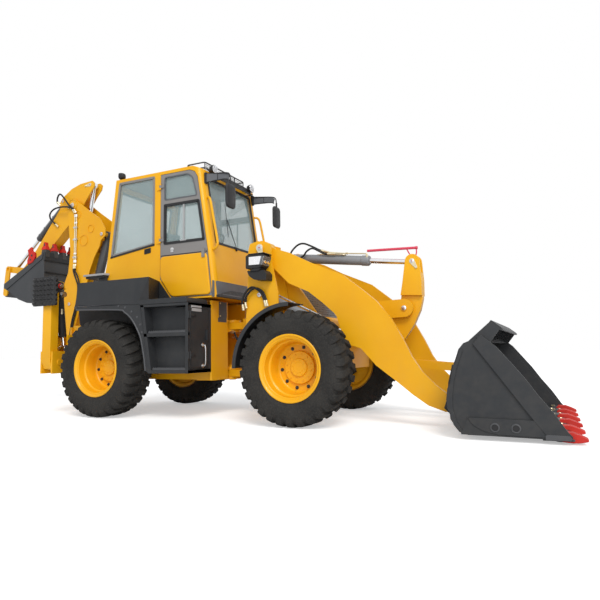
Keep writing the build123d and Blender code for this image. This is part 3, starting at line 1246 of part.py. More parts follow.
# Rear fenders: a deep box over each tyre, open underneath
with BuildPart() as rear_fenders:
    for side in (-1, 1):
        inner_y = CAB_HALF_WIDTH + SEAT_GAP
        fender_outline = [
            (FENDER_REAR_X - 40, FENDER_LOW_Z + 30),
            (FENDER_REAR_X, FENDER_TOP_Z),
            (FENDER_FRONT_X, FENDER_TOP_Z),
            (FENDER_FRONT_X + 20, BOX_TOP_Z + SEAT_GAP),
            (BOX_REAR_X, BOX_TOP_Z + SEAT_GAP),
            (BOX_REAR_X - 60, FENDER_LOW_Z),
        ]
        width = BOX_OUTER_Y - inner_y
        plate(fender_outline, side * (inner_y + width / 2), width)
        with BuildSketch(Plane.XY.offset(1200)) as corner:
            with BuildLine():
                Polyline(
                    (FENDER_FRONT_X + 100, side * (BOX_OUTER_Y + 228)),
                    (FENDER_FRONT_X + 100, side * (inner_y - 20)),
                    (FENDER_FRONT_X - 174, side * (inner_y - 20)),
                    (FENDER_FRONT_X, side * (BOX_OUTER_Y)),
                    close=True,
                )
            make_face()
        extrude(corner.sketch, amount=600, mode=Mode.SUBTRACT)
        hollow = [
            (FENDER_REAR_X - 40 + FENDER_WALL, 1200),
            (FENDER_REAR_X + FENDER_WALL, FENDER_TOP_Z - FENDER_WALL),
            (FENDER_FRONT_X - 174 - FENDER_WALL, FENDER_TOP_Z - FENDER_WALL),
            (FENDER_FRONT_X - 174 - FENDER_WALL, BOX_TOP_Z + 30),
            (BOX_REAR_X - 60, BOX_TOP_Z + 30),
            (BOX_REAR_X - 60, 1200),
        ]
        plate(
            hollow, side * (inner_y + width / 2), width - 2 * FENDER_WALL, mode=Mode.SUBTRACT
        )
keep(rear_fenders.part, "rear_fenders")

# Swing post: turns on the vertical pin between the brackets and carries boom and boom cylinder
body_low_z = SWING_LOW_Z + SWING_BRACKET + 1
body_high_z = SWING_HIGH_Z - 1
cap_low_z = SWING_HIGH_Z + SWING_BRACKET + 1
cap_high_z = cap_low_z + 47
with BuildPart() as swing_post:
    rod((SWING_X, 0, SWING_LOW_Z - 20), (SWING_X, 0, cap_high_z), SWING_PIN_RADIUS)
    rod((SWING_X, 0, body_low_z), (SWING_X, 0, body_high_z), SWING_EYE_RADIUS)
    lug_y = BOOM_HALF_WIDTH + 22
    block(SWING_X - 75, SWING_X + 60, -lug_y - 15, lug_y + 15, 600, 755)
    block(SWING_X - 60, SWING_X + 95, -91, 91, cap_low_z, cap_high_z)
    for side in (-1, 1):
        pin(BOOM_FOOT_X, BOOM_FOOT_Z, 78, *sorted((side * (lug_y - 15), side * (lug_y + 15))))
        plate(
            [
                (BOOM_FOOT_X + 10, BOOM_FOOT_Z - 76),
                (SWING_X - 70, 604),
                (SWING_X - 70, 754),
                (BOOM_FOOT_X + 58, BOOM_FOOT_Z + 50),
            ],
            side * lug_y,
            30,
        )
        plate(
            [
                (SWING_X - 58, cap_low_z + 1),
                (SWING_X - 40, 900),
                (BOOM_CYL_BASE_X - 50, BOOM_CYL_BASE_Z + 10),
                (BOOM_CYL_BASE_X - 30, BOOM_CYL_BASE_Z + 45),
                (BOOM_CYL_BASE_X + 30, BOOM_CYL_BASE_Z + 45),
                (BOOM_CYL_BASE_X + 52, BOOM_CYL_BASE_Z),
                (BOOM_CYL_BASE_X + 45, 900),
                (SWING_X + 94, cap_low_z + 1),
            ],
            side * 78,
            26,
        )
    pin(BOOM_FOOT_X, BOOM_FOOT_Z, BOOM_PIN_RADIUS, -lug_y - 22, lug_y + 22)
keep(swing_post.part, "swing_post")

# Boom: two plates with a web between them, open at the top for the dipper and its cylinder
boom_outline = [
    (BOOM_FOOT_X - 92, BOOM_FOOT_Z - 10),
    (FRONT_AXLE_X - 4172, 1824),
    (FRONT_AXLE_X - 4103, 1974),
    (FRONT_AXLE_X - 4068, 2282),
    (FRONT_AXLE_X - 4089, 2462),
    (BOOM_HEAD_X - 96, 2867),
    (BOOM_HEAD_X - 98, BOOM_HEAD_Z),
    (BOOM_HEAD_X - 64, BOOM_HEAD_Z + 74),
    (BOOM_HEAD_X, BOOM_HEAD_Z + 96),
    (FRONT_AXLE_X - 3880, 3000),
    (FRONT_AXLE_X - 3727, 2888),
    (FRONT_AXLE_X - 3489, 2726),
    (FRONT_AXLE_X - 3378, 2562),
    (FRONT_AXLE_X - 3378, 2462),
    (FRONT_AXLE_X - 3460, 2400),
    (FRONT_AXLE_X - 3486, 2312),
    (FRONT_AXLE_X - 3589, 2150),
    (FRONT_AXLE_X - 3671, 1962),
    (FRONT_AXLE_X - 3697, 1856),
    (FRONT_AXLE_X - 3860, 1400),
    (BOOM_FOOT_X + 60, BOOM_FOOT_Z + 110),
    (BOOM_FOOT_X + 80, BOOM_FOOT_Z),
    (BOOM_FOOT_X + 30, BOOM_FOOT_Z - 76),
    (BOOM_FOOT_X - 50, BOOM_FOOT_Z - 70),
]
boom_inner_y = BOOM_HALF_WIDTH - BOOM_PLATE
with BuildPart() as boom:
    for side in (-1, 1):
        plate(boom_outline, side * (BOOM_HALF_WIDTH - BOOM_PLATE / 2), BOOM_PLATE)
    rear_edge = [
        (BOOM_FOOT_X - 92, BOOM_FOOT_Z + 60),
        (FRONT_AXLE_X - 4172, 1824),
        (FRONT_AXLE_X - 4103, 1974),
        (FRONT_AXLE_X - 4068, 2282),
        (FRONT_AXLE_X - 4088, 2440),
        (FRONT_AXLE_X - 4070, 2442),
        (FRONT_AXLE_X - 4050, 2282),
        (FRONT_AXLE_X - 4085, 1974),
        (FRONT_AXLE_X - 4154, 1826),
        (BOOM_FOOT_X - 74, BOOM_FOOT_Z + 60),
    ]
    plate(rear_edge, 0, 2 * boom_inner_y + 2)
    front_web = [
        (FRONT_AXLE_X - 3592, 2240),
        (FRONT_AXLE_X - 3671 - 30, 1962),
        (FRONT_AXLE_X - 3697 - 30, 1856),
        (FRONT_AXLE_X - 3890, 1400),
        (BOOM_FOOT_X + 30, BOOM_FOOT_Z + 140),
        (BOOM_FOOT_X + 12, BOOM_FOOT_Z + 144),
        (FRONT_AXLE_X - 3908, 1402),
        (FRONT_AXLE_X - 3745, 1860),
        (FRONT_AXLE_X - 3719, 1966),
        (FRONT_AXLE_X - 3610, 2246),
    ]
    plate(front_web, 0, 2 * boom_inner_y + 2)
    pin(BOOM_FOOT_X, BOOM_FOOT_Z, 64, -BOOM_HALF_WIDTH - 6, BOOM_HALF_WIDTH + 6)
    pin(BOOM_FOOT_X, BOOM_FOOT_Z, BOOM_PIN_RADIUS + PIN_CLEARANCE, -150, 150, mode=Mode.SUBTRACT)
    pin(BOOM_HEAD_X, BOOM_HEAD_Z, BOOM_PIN_RADIUS, -BOOM_HALF_WIDTH - 8, BOOM_HALF_WIDTH + 8)
    pin(BOOM_CYL_TOP_X, BOOM_CYL_TOP_Z, 32, -BOOM_HALF_WIDTH - 8, BOOM_HALF_WIDTH + 8)
    pin(DIPPER_CYL_BASE_X, DIPPER_CYL_BASE_Z, 30, -BOOM_HALF_WIDTH - 8, BOOM_HALF_WIDTH + 8)
keep(boom.part, "boom")

boom_cyl_top = (BOOM_CYL_TOP_X, BOOM_CYL_TOP_Z)
boom_cyl_base = (BOOM_CYL_BASE_X, BOOM_CYL_BASE_Z)
with BuildPart() as boom_barrel:
    barrel(boom_cyl_top, boom_cyl_base, 0, BOOM_CYL_RADIUS, BOOM_CYL_LENGTH, 56, 90, 32)
keep(boom_barrel.part, "boom_cylinder_barrel")
with BuildPart() as boom_rod:
    piston_rod(
        boom_cyl_top,
        boom_cyl_base,
        0,
        34,
        BOOM_CYL_RADIUS - CYLINDER_WALL - SEAT_GAP,
        120,
        52,
        90,
    )
    pin(*boom_cyl_base, 30, -61, 61)
keep(boom_rod.part, "boom_cylinder_rod")

dipper_inner_y = DIPPER_HALF_WIDTH - DIPPER_PLATE
dipper_cyl_base = (DIPPER_CYL_BASE_X, DIPPER_CYL_BASE_Z)
dipper_cyl_eye = (DIPPER_CYL_EYE_X, DIPPER_CYL_EYE_Z)
with BuildPart() as dipper_barrel:
    barrel(dipper_cyl_base, dipper_cyl_eye, 0, DIPPER_CYL_RADIUS, DIPPER_CYL_LENGTH, 52, 80, 30)
keep(dipper_barrel.part, "dipper_cylinder_barrel")
with BuildPart() as dipper_rod:
    piston_rod(
        dipper_cyl_base,
        dipper_cyl_eye,
        0,
        30,
        DIPPER_CYL_RADIUS - CYLINDER_WALL - SEAT_GAP,
        790,
        46,
        60,
    )
    pin(*dipper_cyl_eye, 26, -dipper_inner_y + 4, dipper_inner_y - 4)
keep(dipper_rod.part, "dipper_cylinder_rod")

# Dipper: two plates between the boom's plates at the head, and a box towards the bucket
dipper_outline = [
    (FRONT_AXLE_X - 4363, 2985),
    (FRONT_AXLE_X - 4381, 3070),
    (FRONT_AXLE_X - 4300, 3165),
    (FRONT_AXLE_X - 4123, 3270),
    (FRONT_AXLE_X - 3941, 3322),
    (FRONT_AXLE_X - 3701, 3338),
    (FRONT_AXLE_X - 3655, 3300),
    (FRONT_AXLE_X - 3668, 3232),
    (FRONT_AXLE_X - 3770, 3120),
    (FRONT_AXLE_X - 3885, 2969),
    (BOOM_HEAD_X + 40, BOOM_HEAD_Z - 92),
    (FRONT_AXLE_X - 4106, 2770),
    (FRONT_AXLE_X - 4564, 2377),
    (ROCKER_X + 100, ROCKER_Z - 70),
    (DIPPER_TIP_X + 50, DIPPER_TIP_Z - 55),
    (DIPPER_TIP_X - 20, DIPPER_TIP_Z - 68),
    (DIPPER_TIP_X - 66, DIPPER_TIP_Z - 20),
    (DIPPER_TIP_X - 56, DIPPER_TIP_Z + 46),
    (ROCKER_X - 50, ROCKER_Z + 74),
    (FRONT_AXLE_X - 4861, 2400),
]
with BuildPart() as dipper:
    for side in (-1, 1):
        plate(dipper_outline, side * (DIPPER_HALF_WIDTH - DIPPER_PLATE / 2), DIPPER_PLATE)
    under = [
        (FRONT_AXLE_X - 4106, 2770),
        (FRONT_AXLE_X - 4564, 2377),
        (ROCKER_X + 100, ROCKER_Z - 70),
        (ROCKER_X + 90, ROCKER_Z - 56),
        (FRONT_AXLE_X - 4576, 2391),
        (FRONT_AXLE_X - 4118, 2784),
    ]
    plate(under, 0, 2 * dipper_inner_y + 2)
    upper = [
        (FRONT_AXLE_X - 4363, 2945),
        (FRONT_AXLE_X - 4861, 2400),
        (ROCKER_X - 40, ROCKER_Z + 70),
        (ROCKER_X - 30, ROCKER_Z + 60),
        (FRONT_AXLE_X - 4849, 2390),
        (FRONT_AXLE_X - 4349, 2933),
    ]
    plate(upper, 0, 2 * dipper_inner_y + 2)
    hub_reach = BOOM_HALF_WIDTH - BOOM_PLATE - SEAT_GAP
    pin(BOOM_HEAD_X, BOOM_HEAD_Z, 78, -hub_reach, hub_reach)
    pin(BOOM_HEAD_X, BOOM_HEAD_Z, BOOM_PIN_RADIUS + PIN_CLEARANCE, -130, 130, mode=Mode.SUBTRACT)
    pin(DIPPER_TIP_X, DIPPER_TIP_Z, 56, -DIPPER_HALF_WIDTH, DIPPER_HALF_WIDTH)
    pin(DIPPER_TIP_X, DIPPER_TIP_Z, 30 + PIN_CLEARANCE, -100, 100, mode=Mode.SUBTRACT)
    pin(ROCKER_X, ROCKER_Z, 30, -DIPPER_HALF_WIDTH - 34, DIPPER_HALF_WIDTH + 34)
    pin(CURL_BASE_X, CURL_BASE_Z, 26, -DIPPER_HALF_WIDTH - 6, DIPPER_HALF_WIDTH + 6)
keep(dipper.part, "dipper")

curl_base = (CURL_BASE_X, CURL_BASE_Z)
curl_eye = (CURL_EYE_X, CURL_EYE_Z)
with BuildPart() as curl_barrel:
    barrel(curl_base, curl_eye, 0, CURL_CYL_RADIUS, CURL_CYL_LENGTH, 44, 70, 26)
keep(curl_barrel.part, "bucket_cylinder_barrel")
with BuildPart() as curl_rod:
    piston_rod(
        curl_base, curl_eye, 0, 26, CURL_CYL_RADIUS - CYLINDER_WALL - SEAT_GAP, 640, 42, 56
    )
keep(curl_rod.part, "bucket_cylinder_rod")

# Rocker on the dipper and the link from it to the bucket's ear
with BuildPart() as rocker:
    for side in (-1, 1):
        strap((ROCKER_X, ROCKER_Z), curl_eye, 50, side * (DIPPER_HALF_WIDTH + 17), 26)
        strap(curl_eye, (CURL_EYE_X + 1, CURL_EYE_Z), 50, side * 52, 44)
        pin(*curl_eye, 26, *sorted((side * 32, side * (DIPPER_HALF_WIDTH + 36))))
        hole = sorted((side * 80, side * 130))
        pin(ROCKER_X, ROCKER_Z, 30 + PIN_CLEARANCE, *hole, mode=Mode.SUBTRACT)
keep(rocker.part, "rocker")

# Digging bucket: shell, side plates, four teeth and the ears for the dipper and the link
digger_back = [
    (FRONT_AXLE_X - 4462, 2292),
    (FRONT_AXLE_X - 4452, 2112),
    (FRONT_AXLE_X - 4436, 1700),
    (FRONT_AXLE_X - 4500, 1590),
    (FRONT_AXLE_X - 4620, 1545),
    (FRONT_AXLE_X - 4800, 1545),
    (FRONT_AXLE_X - 5000, 1610),
    (FRONT_AXLE_X - 5200, 1735),
    (FRONT_AXLE_X - 5330, 1800),
]
digger_inside = [
    (FRONT_AXLE_X - 4462 - DIGGER_WALL, 2500),
    (FRONT_AXLE_X - 4452 - DIGGER_WALL, 2112),
    (FRONT_AXLE_X - 4436 - DIGGER_WALL, 1705),
    (FRONT_AXLE_X - 4506, 1602),
    (FRONT_AXLE_X - 4622, 1545 + DIGGER_WALL),
    (FRONT_AXLE_X - 4796, 1545 + DIGGER_WALL),
    (FRONT_AXLE_X - 4992, 1622),
    (FRONT_AXLE_X - 5192, 1747),
    (FRONT_AXLE_X - 5230, 1765),
    (FRONT_AXLE_X - 5230, 2300),
]
with BuildPart() as digging_bucket:
    plate([*digger_back, (FRONT_AXLE_X - 5330, 1870)], 0, 2 * DIGGER_HALF_WIDTH)
    plate(digger_inside, 0, 2 * (DIGGER_HALF_WIDTH - DIGGER_WALL), mode=Mode.SUBTRACT)
    tip_gap = DIPPER_HALF_WIDTH + 4
    plate(
        [
            (DIPPER_TIP_X - 90, 1700),
            (DIPPER_TIP_X - 90, 2100),
            (FRONT_AXLE_X - 5222, 2100),
            (FRONT_AXLE_X - 5222, 1700),
        ],
        0,
        2 * tip_gap,
        mode=Mode.SUBTRACT,
    )
    for side in (-1, 1):
        strap((DIPPER_TIP_X, DIPPER_TIP_Z), (EAR_X, EAR_Z), 60, side * (tip_gap + 13), 24)
        pin(DIPPER_TIP_X, DIPPER_TIP_Z, 60, *sorted((side * tip_gap, side * (tip_gap + 40))))
        plate(
            [
                (FRONT_AXLE_X - 5330, 1790),
                (DIPPER_TIP_X - 40, DIPPER_TIP_Z + 50),
                (FRONT_AXLE_X - 5120, 1960),
                (FRONT_AXLE_X - 5150, 1700),
            ],
            side * (tip_gap + 13),
            24,
        )
        plate(
            [
                (EAR_X - 20, EAR_Z - 58),
                (EAR_X + 40, EAR_Z + 40),
                (FRONT_AXLE_X - 5180, 1780),
                (FRONT_AXLE_X - 5120, 1640),
            ],
            side * (tip_gap + 13),
            24,
        )
    pin(DIPPER_TIP_X, DIPPER_TIP_Z, 30, -tip_gap - 40, tip_gap + 40)
    spacing = 2 * (DIGGER_HALF_WIDTH - 40) / (DIGGER_TEETH - 1)
    for index in range(DIGGER_TEETH):
        plate(
            [
                (FRONT_AXLE_X - 4500, 2230),
                (FRONT_AXLE_X - 4512, 2300),
                (FRONT_AXLE_X - 4478, 2440),
                (FRONT_AXLE_X - 4466, 2440),
                (FRONT_AXLE_X - 4436, 2300),
                (FRONT_AXLE_X - 4444, 2230),
            ],
            -DIGGER_HALF_WIDTH + 40 + index * spacing,
            58,
        )
keep(digging_bucket.part, "digging_bucket")

with BuildPart() as curl_link:
    for side in (-1, 1):
        strap(curl_eye, (EAR_X, EAR_Z), 48, side * (DIPPER_HALF_WIDTH + 45), 22)
        pin(*curl_eye, 26 + PIN_CLEARANCE, *sorted((side * 110, side * 145)), mode=Mode.SUBTRACT)
    block(CURL_EYE_X - 60, CURL_EYE_X - 5, -120, 120, 1915, 1965)
keep(curl_link.part, "bucket_link")

# Stabilizer legs, their pads and cylinders
for side, place in ((-1, "right"), (1, "left")):
    leg_plane = Plane(origin=(LEG_X, 0, 0), x_dir=(0, side, 0), z_dir=(side, 0, 0))
    with BuildPart() as leg:
        with BuildSketch(leg_plane) as section:
            with BuildLine():
                Polyline(
                    (LEG_PIVOT_Y - LEG_HALF_WIDTH, LEG_PIVOT_Z - 20),
                    (LEG_PIVOT_Y - LEG_HALF_WIDTH, LEG_PAD_Z - 60),
                    (LEG_PIVOT_Y - 70, LEG_PAD_Z + 60),
                    (LEG_PIVOT_Y + 30, LEG_PAD_Z + 66),
                    (LEG_PIVOT_Y + 84, LEG_PAD_Z - 20),
                    (LEG_PIVOT_Y + LEG_HALF_WIDTH, LEG_PAD_Z - 160),
                    (LEG_PIVOT_Y + LEG_HALF_WIDTH, LEG_PIVOT_Z + 20),
                    (LEG_PIVOT_Y + 82, LEG_PIVOT_Z - 82),
                    (LEG_PIVOT_Y - 40, LEG_PIVOT_Z - 116),
                    close=True,
                )
            make_face()
        extrude(section.sketch, amount=LEG_DEPTH / 2, both=True)
        with BuildSketch(leg_plane) as channel:
            with Locations((LEG_PIVOT_Y - 130, (LEG_PIVOT_Z + LEG_PAD_Z) / 2 + 160)):
                Rectangle(260, LEG_PAD_Z - LEG_PIVOT_Z + 100)
            with Locations((LEG_PIVOT_Y - LEG_PIN_RADIUS - LEG_HUB_WALL - 80, LEG_PIVOT_Z + 20)):
                Rectangle(160, 300)
        extrude(channel.sketch, amount=LEG_CHANNEL_HALF, both=True, mode=Mode.SUBTRACT)
        rod(
            (LEG_X - 200, side * LEG_PIVOT_Y, LEG_PIVOT_Z),
            (LEG_X + 200, side * LEG_PIVOT_Y, LEG_PIVOT_Z),
            LEG_PIN_RADIUS + PIN_CLEARANCE,
            mode=Mode.SUBTRACT,
        )
        rod(
            (LEG_X - 90, side * LEG_CYL_TOP_Y, LEG_CYL_TOP_Z),
            (LEG_X + 90, side * LEG_CYL_TOP_Y, LEG_CYL_TOP_Z),
            26,
        )
        rod(
            (LEG_X - 150, side * (LEG_PIVOT_Y + 20), LEG_PAD_Z),
            (LEG_X + 150, side * (LEG_PIVOT_Y + 20), LEG_PAD_Z),
            24,
        )
    keep(leg.part, f"stabilizer_leg_{place}")

    with BuildPart() as pad:
        for ear in (-1, 1):
            ear_plane = Plane(origin=(LEG_X + ear * 102, 0, 0), x_dir=(0, side, 0), z_dir=(side, 0, 0))
            with BuildSketch(ear_plane) as lug:
                with BuildLine():
                    Polyline(
                        (LEG_PIVOT_Y - 40, LEG_PAD_Z - 30),
                        (LEG_PIVOT_Y - 30, LEG_PAD_Z + 50),
                        (LEG_PIVOT_Y + 60, LEG_PAD_Z + 60),
                        (PAD_OUTER_Y - 20, LEG_PAD_Z + 40),
                        (PAD_OUTER_Y - 20, LEG_PAD_Z - 150),
                        close=True,
                    )
                make_face()
            extrude(lug.sketch, amount=12, both=True)
        rod(
            (LEG_X - 130, side * (LEG_PIVOT_Y + 20), LEG_PAD_Z),
            (LEG_X + 130, side * (LEG_PIVOT_Y + 20), LEG_PAD_Z),
            24 + PIN_CLEARANCE,
            mode=Mode.SUBTRACT,
        )
        low_y, high_y = sorted((side * (PAD_OUTER_Y - 34), side * PAD_OUTER_Y))
        block(
            LEG_X - PAD_WIDTH / 2,
            LEG_X + PAD_WIDTH / 2,
            low_y,
            high_y,
            LEG_PAD_Z + 110 - PAD_HEIGHT,
            LEG_PAD_Z + 110,
        )
    keep(pad.part, f"stabilizer_pad_{place}")

    top = Vector(LEG_X, side * LEG_CYL_TOP_Y, LEG_CYL_TOP_Z)
    foot = Vector(LEG_X, side * LEG_CYL_FOOT_Y, LEG_CYL_FOOT_Z)
    run = (foot - top).normalized()
    with BuildPart() as leg_barrel:
        rod(top - Vector(45, 0, 0), top + Vector(45, 0, 0), 46)
        rod(top + run * 30, top + run * LEG_CYL_LENGTH, LEG_CYL_RADIUS)
        rod(top + run * 90, top + run * LEG_CYL_LENGTH, LEG_CYL_RADIUS - CYLINDER_WALL, mode=Mode.SUBTRACT)
        rod(top - Vector(80, 0, 0), top + Vector(80, 0, 0), 26 + PIN_CLEARANCE, mode=Mode.SUBTRACT)
    keep(leg_barrel.part, f"stabilizer_barrel_{place}")
    with BuildPart() as leg_rod:
        rod(top + run * 100, foot, 26)
        rod(top + run * 100, top + run * 130, LEG_CYL_RADIUS - CYLINDER_WALL - SEAT_GAP)
        rod(foot - Vector(40, 0, 0), foot + Vector(40, 0, 0), 42)
        rod(foot - Vector(80, 0, 0), foot + Vector(80, 0, 0), 24)
    keep(leg_rod.part, f"stabilizer_rod_{place}")
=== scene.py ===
"""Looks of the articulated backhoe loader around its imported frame.

Lengths in the tables are millimetres from the ground point under the front axle: x forward, y to the
machine's left, z up. at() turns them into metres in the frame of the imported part.
"""
from math import cos, pi, radians, sin

import bmesh
import bpy
from mathutils import Matrix, Vector


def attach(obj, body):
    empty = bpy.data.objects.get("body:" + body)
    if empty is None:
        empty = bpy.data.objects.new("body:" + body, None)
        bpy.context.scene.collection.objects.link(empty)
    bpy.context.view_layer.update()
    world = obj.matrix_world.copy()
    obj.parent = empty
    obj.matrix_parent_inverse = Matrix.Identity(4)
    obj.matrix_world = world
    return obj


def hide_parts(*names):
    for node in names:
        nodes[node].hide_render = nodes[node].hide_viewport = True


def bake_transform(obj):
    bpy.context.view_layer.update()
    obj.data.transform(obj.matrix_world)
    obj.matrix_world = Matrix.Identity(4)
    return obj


FRONT_AXLE_X = 1493.0
WHEELBASE = 2600.0
AXLE_Z = 587.5
WHEEL_Y = 840.0
SIDES = (("right", -1), ("left", 1))

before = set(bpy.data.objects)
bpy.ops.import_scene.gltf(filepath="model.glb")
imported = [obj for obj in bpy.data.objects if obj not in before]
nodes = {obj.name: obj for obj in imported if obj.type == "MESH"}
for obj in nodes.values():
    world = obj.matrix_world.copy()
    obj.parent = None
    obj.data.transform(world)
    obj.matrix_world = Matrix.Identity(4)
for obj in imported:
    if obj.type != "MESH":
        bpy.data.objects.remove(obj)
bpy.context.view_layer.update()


def at(x, y, z):
    """A point given in millimetres from under the front axle, in metres in the row frame."""
    return Vector(((FRONT_AXLE_X + x) / 1000, y / 1000, z / 1000))


# Materials: each has noise in colour and roughness, and all but glass also in bump, in the piece's own
# metres


class Graph:
    """A material's nodes, with short ways to add the ones used here."""

    def __init__(self, name):
        self.material = bpy.data.materials.new(name)
        self.material.use_nodes = True
        self.nodes = self.material.node_tree.nodes
        self.links = self.material.node_tree.links
        self.shader = self.nodes["Principled BSDF"]

    def noise(self, scale, detail=4.0, stretch=(1, 1, 1)):
        where = self.nodes.new("ShaderNodeTexCoord")
        mapping = self.nodes.new("ShaderNodeMapping")
        mapping.inputs["Scale"].default_value = stretch
        made = self.nodes.new("ShaderNodeTexNoise")
        made.inputs["Scale"].default_value = scale
        made.inputs["Detail"].default_value = detail
        self.links.new(where.outputs["Object"], mapping.inputs["Vector"])
        self.links.new(mapping.outputs["Vector"], made.inputs["Vector"])
        return made.outputs["Fac"]

    def height(self, low, high):
        """0 at a height of low metres to 1 at high."""
        where = self.nodes.new("ShaderNodeTexCoord")
        split = self.nodes.new("ShaderNodeSeparateXYZ")
        made = self.nodes.new("ShaderNodeMapRange")
        made.inputs["From Min"].default_value = low
        made.inputs["From Max"].default_value = high
        self.links.new(where.outputs["Object"], split.inputs["Vector"])
        self.links.new(split.outputs["Z"], made.inputs["Value"])
        return made.outputs["Result"]

    def ramp(self, source, *stops):
        """Greys or colours over a 0 to 1 input, as (place, value) pairs."""
        made = self.nodes.new("ShaderNodeValToRGB")
        while len(made.color_ramp.elements) < len(stops):
            made.color_ramp.elements.new(0.5)
        for element, (place, value) in zip(made.color_ramp.elements, stops):
            element.position = place
            element.color = (*value, 1) if isinstance(value, tuple) else (value, value, value, 1)
        self.links.new(source, made.inputs["Fac"])
        return made.outputs["Color"]

    def mix(self, share, low, high, way="MIX"):
        """Two colours mixed by a share; each of the three may be a socket."""
        made = self.nodes.new("ShaderNodeMix")
        made.data_type = "RGBA"
        made.blend_type = way
        for index, value in ((0, share), (6, low), (7, high)):
            if isinstance(value, bpy.types.NodeSocket):
                self.links.new(value, made.inputs[index])
            elif isinstance(value, tuple):
                made.inputs[index].default_value = (*value, 1)
            else:
                made.inputs[index].default_value = value
        return made.outputs[2]

    def colour(self, source):
        self.links.new(source, self.shader.inputs["Base Color"])

    def roughness(self, source):
        self.links.new(source, self.shader.inputs["Roughness"])

    def bump(self, source, strength, distance):
        made = self.nodes.new("ShaderNodeBump")
        made.inputs["Strength"].default_value = strength
        made.inputs["Distance"].default_value = distance
        self.links.new(source, made.inputs["Height"])
        self.links.new(made.outputs["Normal"], self.shader.inputs["Normal"])

    def set(self, **values):
        for name, value in values.items():
            self.shader.inputs[name.replace("_", " ")].default_value = value
        return self.material


DUST = (0.30, 0.25, 0.19)


def paint(name, colour, shade, low, high, dust=0.05, coat=0.10):
    """Sprayed paint: cloudy colour, dust that thickens towards the ground and orange peel."""
    g = Graph(name)
    clouds = g.ramp(g.noise(2.2, 6), (0.3, 0.0), (0.7, 1.0))
    base = g.mix(clouds, shade, colour)
    streaks = g.ramp(g.noise(9.0, 8, (1, 1, 0.18)), (0.52, 0.0), (0.78, 1.0))
    base = g.mix(g.ramp(streaks, (0.0, 0.0), (1.0, 0.025)), base, DUST)
    low_dust = g.ramp(g.height(1.5, 0.0), (0.0, 0.0), (1.0, dust))
    patches = g.ramp(g.noise(14.0, 10), (0.35, 0.0), (0.75, 1.0))
    base = g.mix(g.mix(1.0, low_dust, patches, "MULTIPLY"), base, DUST)
    g.colour(base)
    g.roughness(g.ramp(g.noise(5.0, 8), (0.3, low), (0.7, high)))
    g.bump(g.noise(260.0, 3), 0.06, 0.0015)
    return g.set(Coat_Weight=coat, Coat_Roughness=0.12, Specular_IOR_Level=0.28)


def metal(name, colour, shade, low, high, grain=(1, 1, 1), scale=40.0, metallic=1.0):
    """Bare or plated metal with a brushed or cloudy grain."""
    g = Graph(name)
    g.colour(g.mix(g.ramp(g.noise(scale, 6, grain), (0.3, 0.0), (0.7, 1.0)), shade, colour))
    g.roughness(g.ramp(g.noise(scale * 2, 6, grain), (0.3, low), (0.7, high)))
    g.bump(g.noise(scale * 12, 2, grain), 0.05, 0.0008)
    return g.set(Metallic=metallic)


def rubber(name, colour, dusty, share, rough=0.86):
    """Moulded rubber with dust lying in its pores."""
    g = Graph(name)
    cloud = g.ramp(g.noise(5.0, 10), (0.35, 0.0), (0.8, share))
    fine = g.ramp(g.noise(70.0, 8), (0.45, 0.0), (0.75, share))
    base = g.mix(cloud, colour, dusty)
    g.colour(g.mix(fine, base, dusty))
    g.roughness(g.ramp(g.noise(24.0, 6), (0.3, rough - 0.1), (0.7, min(1.0, rough + 0.08))))
    g.bump(g.noise(180.0, 8), 0.35, 0.002)
    return g.set(Specular_IOR_Level=0.2)


def plastic(name, colour, shade, low, high, grain=420.0):
    """Moulded plastic with a fine leather grain."""
    g = Graph(name)
    g.colour(g.mix(g.ramp(g.noise(6.0, 8), (0.3, 0.0), (0.75, 1.0)), shade, colour))
    g.roughness(g.ramp(g.noise(30.0, 6), (0.3, low), (0.7, high)))
    g.bump(g.noise(grain, 4), 0.12, 0.0012)
    return g.set(Specular_IOR_Level=0.3)


def glass(name, colour, alpha):
    """Tinted flat glass: a see-through film of colour under a clear reflecting face."""
    g = Graph(name)
    paler = tuple(c * 1.25 for c in colour)
    g.colour(g.mix(g.ramp(g.noise(1.6, 4), (0.3, 0.0), (0.7, 1.0)), colour, paler))
    g.roughness(g.ramp(g.noise(12.0, 6), (0.3, 0.02), (0.8, 0.07)))
    return g.set(Alpha=alpha, Specular_IOR_Level=0.7)


YELLOW = (0.85, 0.43, 0.006)
yellow_paint = paint("yellow_paint", YELLOW, (0.80, 0.375, 0.004), 0.34, 0.46)
charcoal_paint = paint(
    "charcoal_paint", (0.030, 0.032, 0.035), (0.023, 0.025, 0.028), 0.45, 0.6, 0.06, 0.0,
)
digger_paint = paint("digger_paint", (0.052, 0.055, 0.060), (0.040, 0.043, 0.047), 0.45, 0.6, 0.06, 0.0)
grey_paint = paint("grey_paint", (0.245, 0.255, 0.268), (0.205, 0.215, 0.228), 0.30, 0.42, 0.05)
dark_grey_paint = paint("dark_grey_paint", (0.075, 0.078, 0.084), (0.06, 0.062, 0.068), 0.34, 0.46, 0.05)
red_paint = paint("red_paint", (0.60, 0.026, 0.016), (0.46, 0.018, 0.012), 0.50, 0.64, 0.04, 0.0)
rose_paint = paint("rose_paint", (0.72, 0.075, 0.13), (0.62, 0.05, 0.095), 0.35, 0.45, 0.0)
door_grey = paint("door_grey", (0.235, 0.226, 0.220), (0.205, 0.196, 0.190), 0.42, 0.55, 0.04, 0.15)
chrome = metal("chrome", (0.86, 0.87, 0.89), (0.74, 0.76, 0.79), 0.07, 0.16, (1, 1, 1), 30.0)
zinc = metal("zinc_plate", (0.78, 0.68, 0.42), (0.66, 0.60, 0.46), 0.28, 0.42)
steel = metal("bright_steel", (0.66, 0.66, 0.66), (0.52, 0.53, 0.54), 0.25, 0.42)
dark_iron = metal("dark_iron", (0.07, 0.068, 0.066), (0.045, 0.044, 0.043), 0.5, 0.7, metallic=0.4)
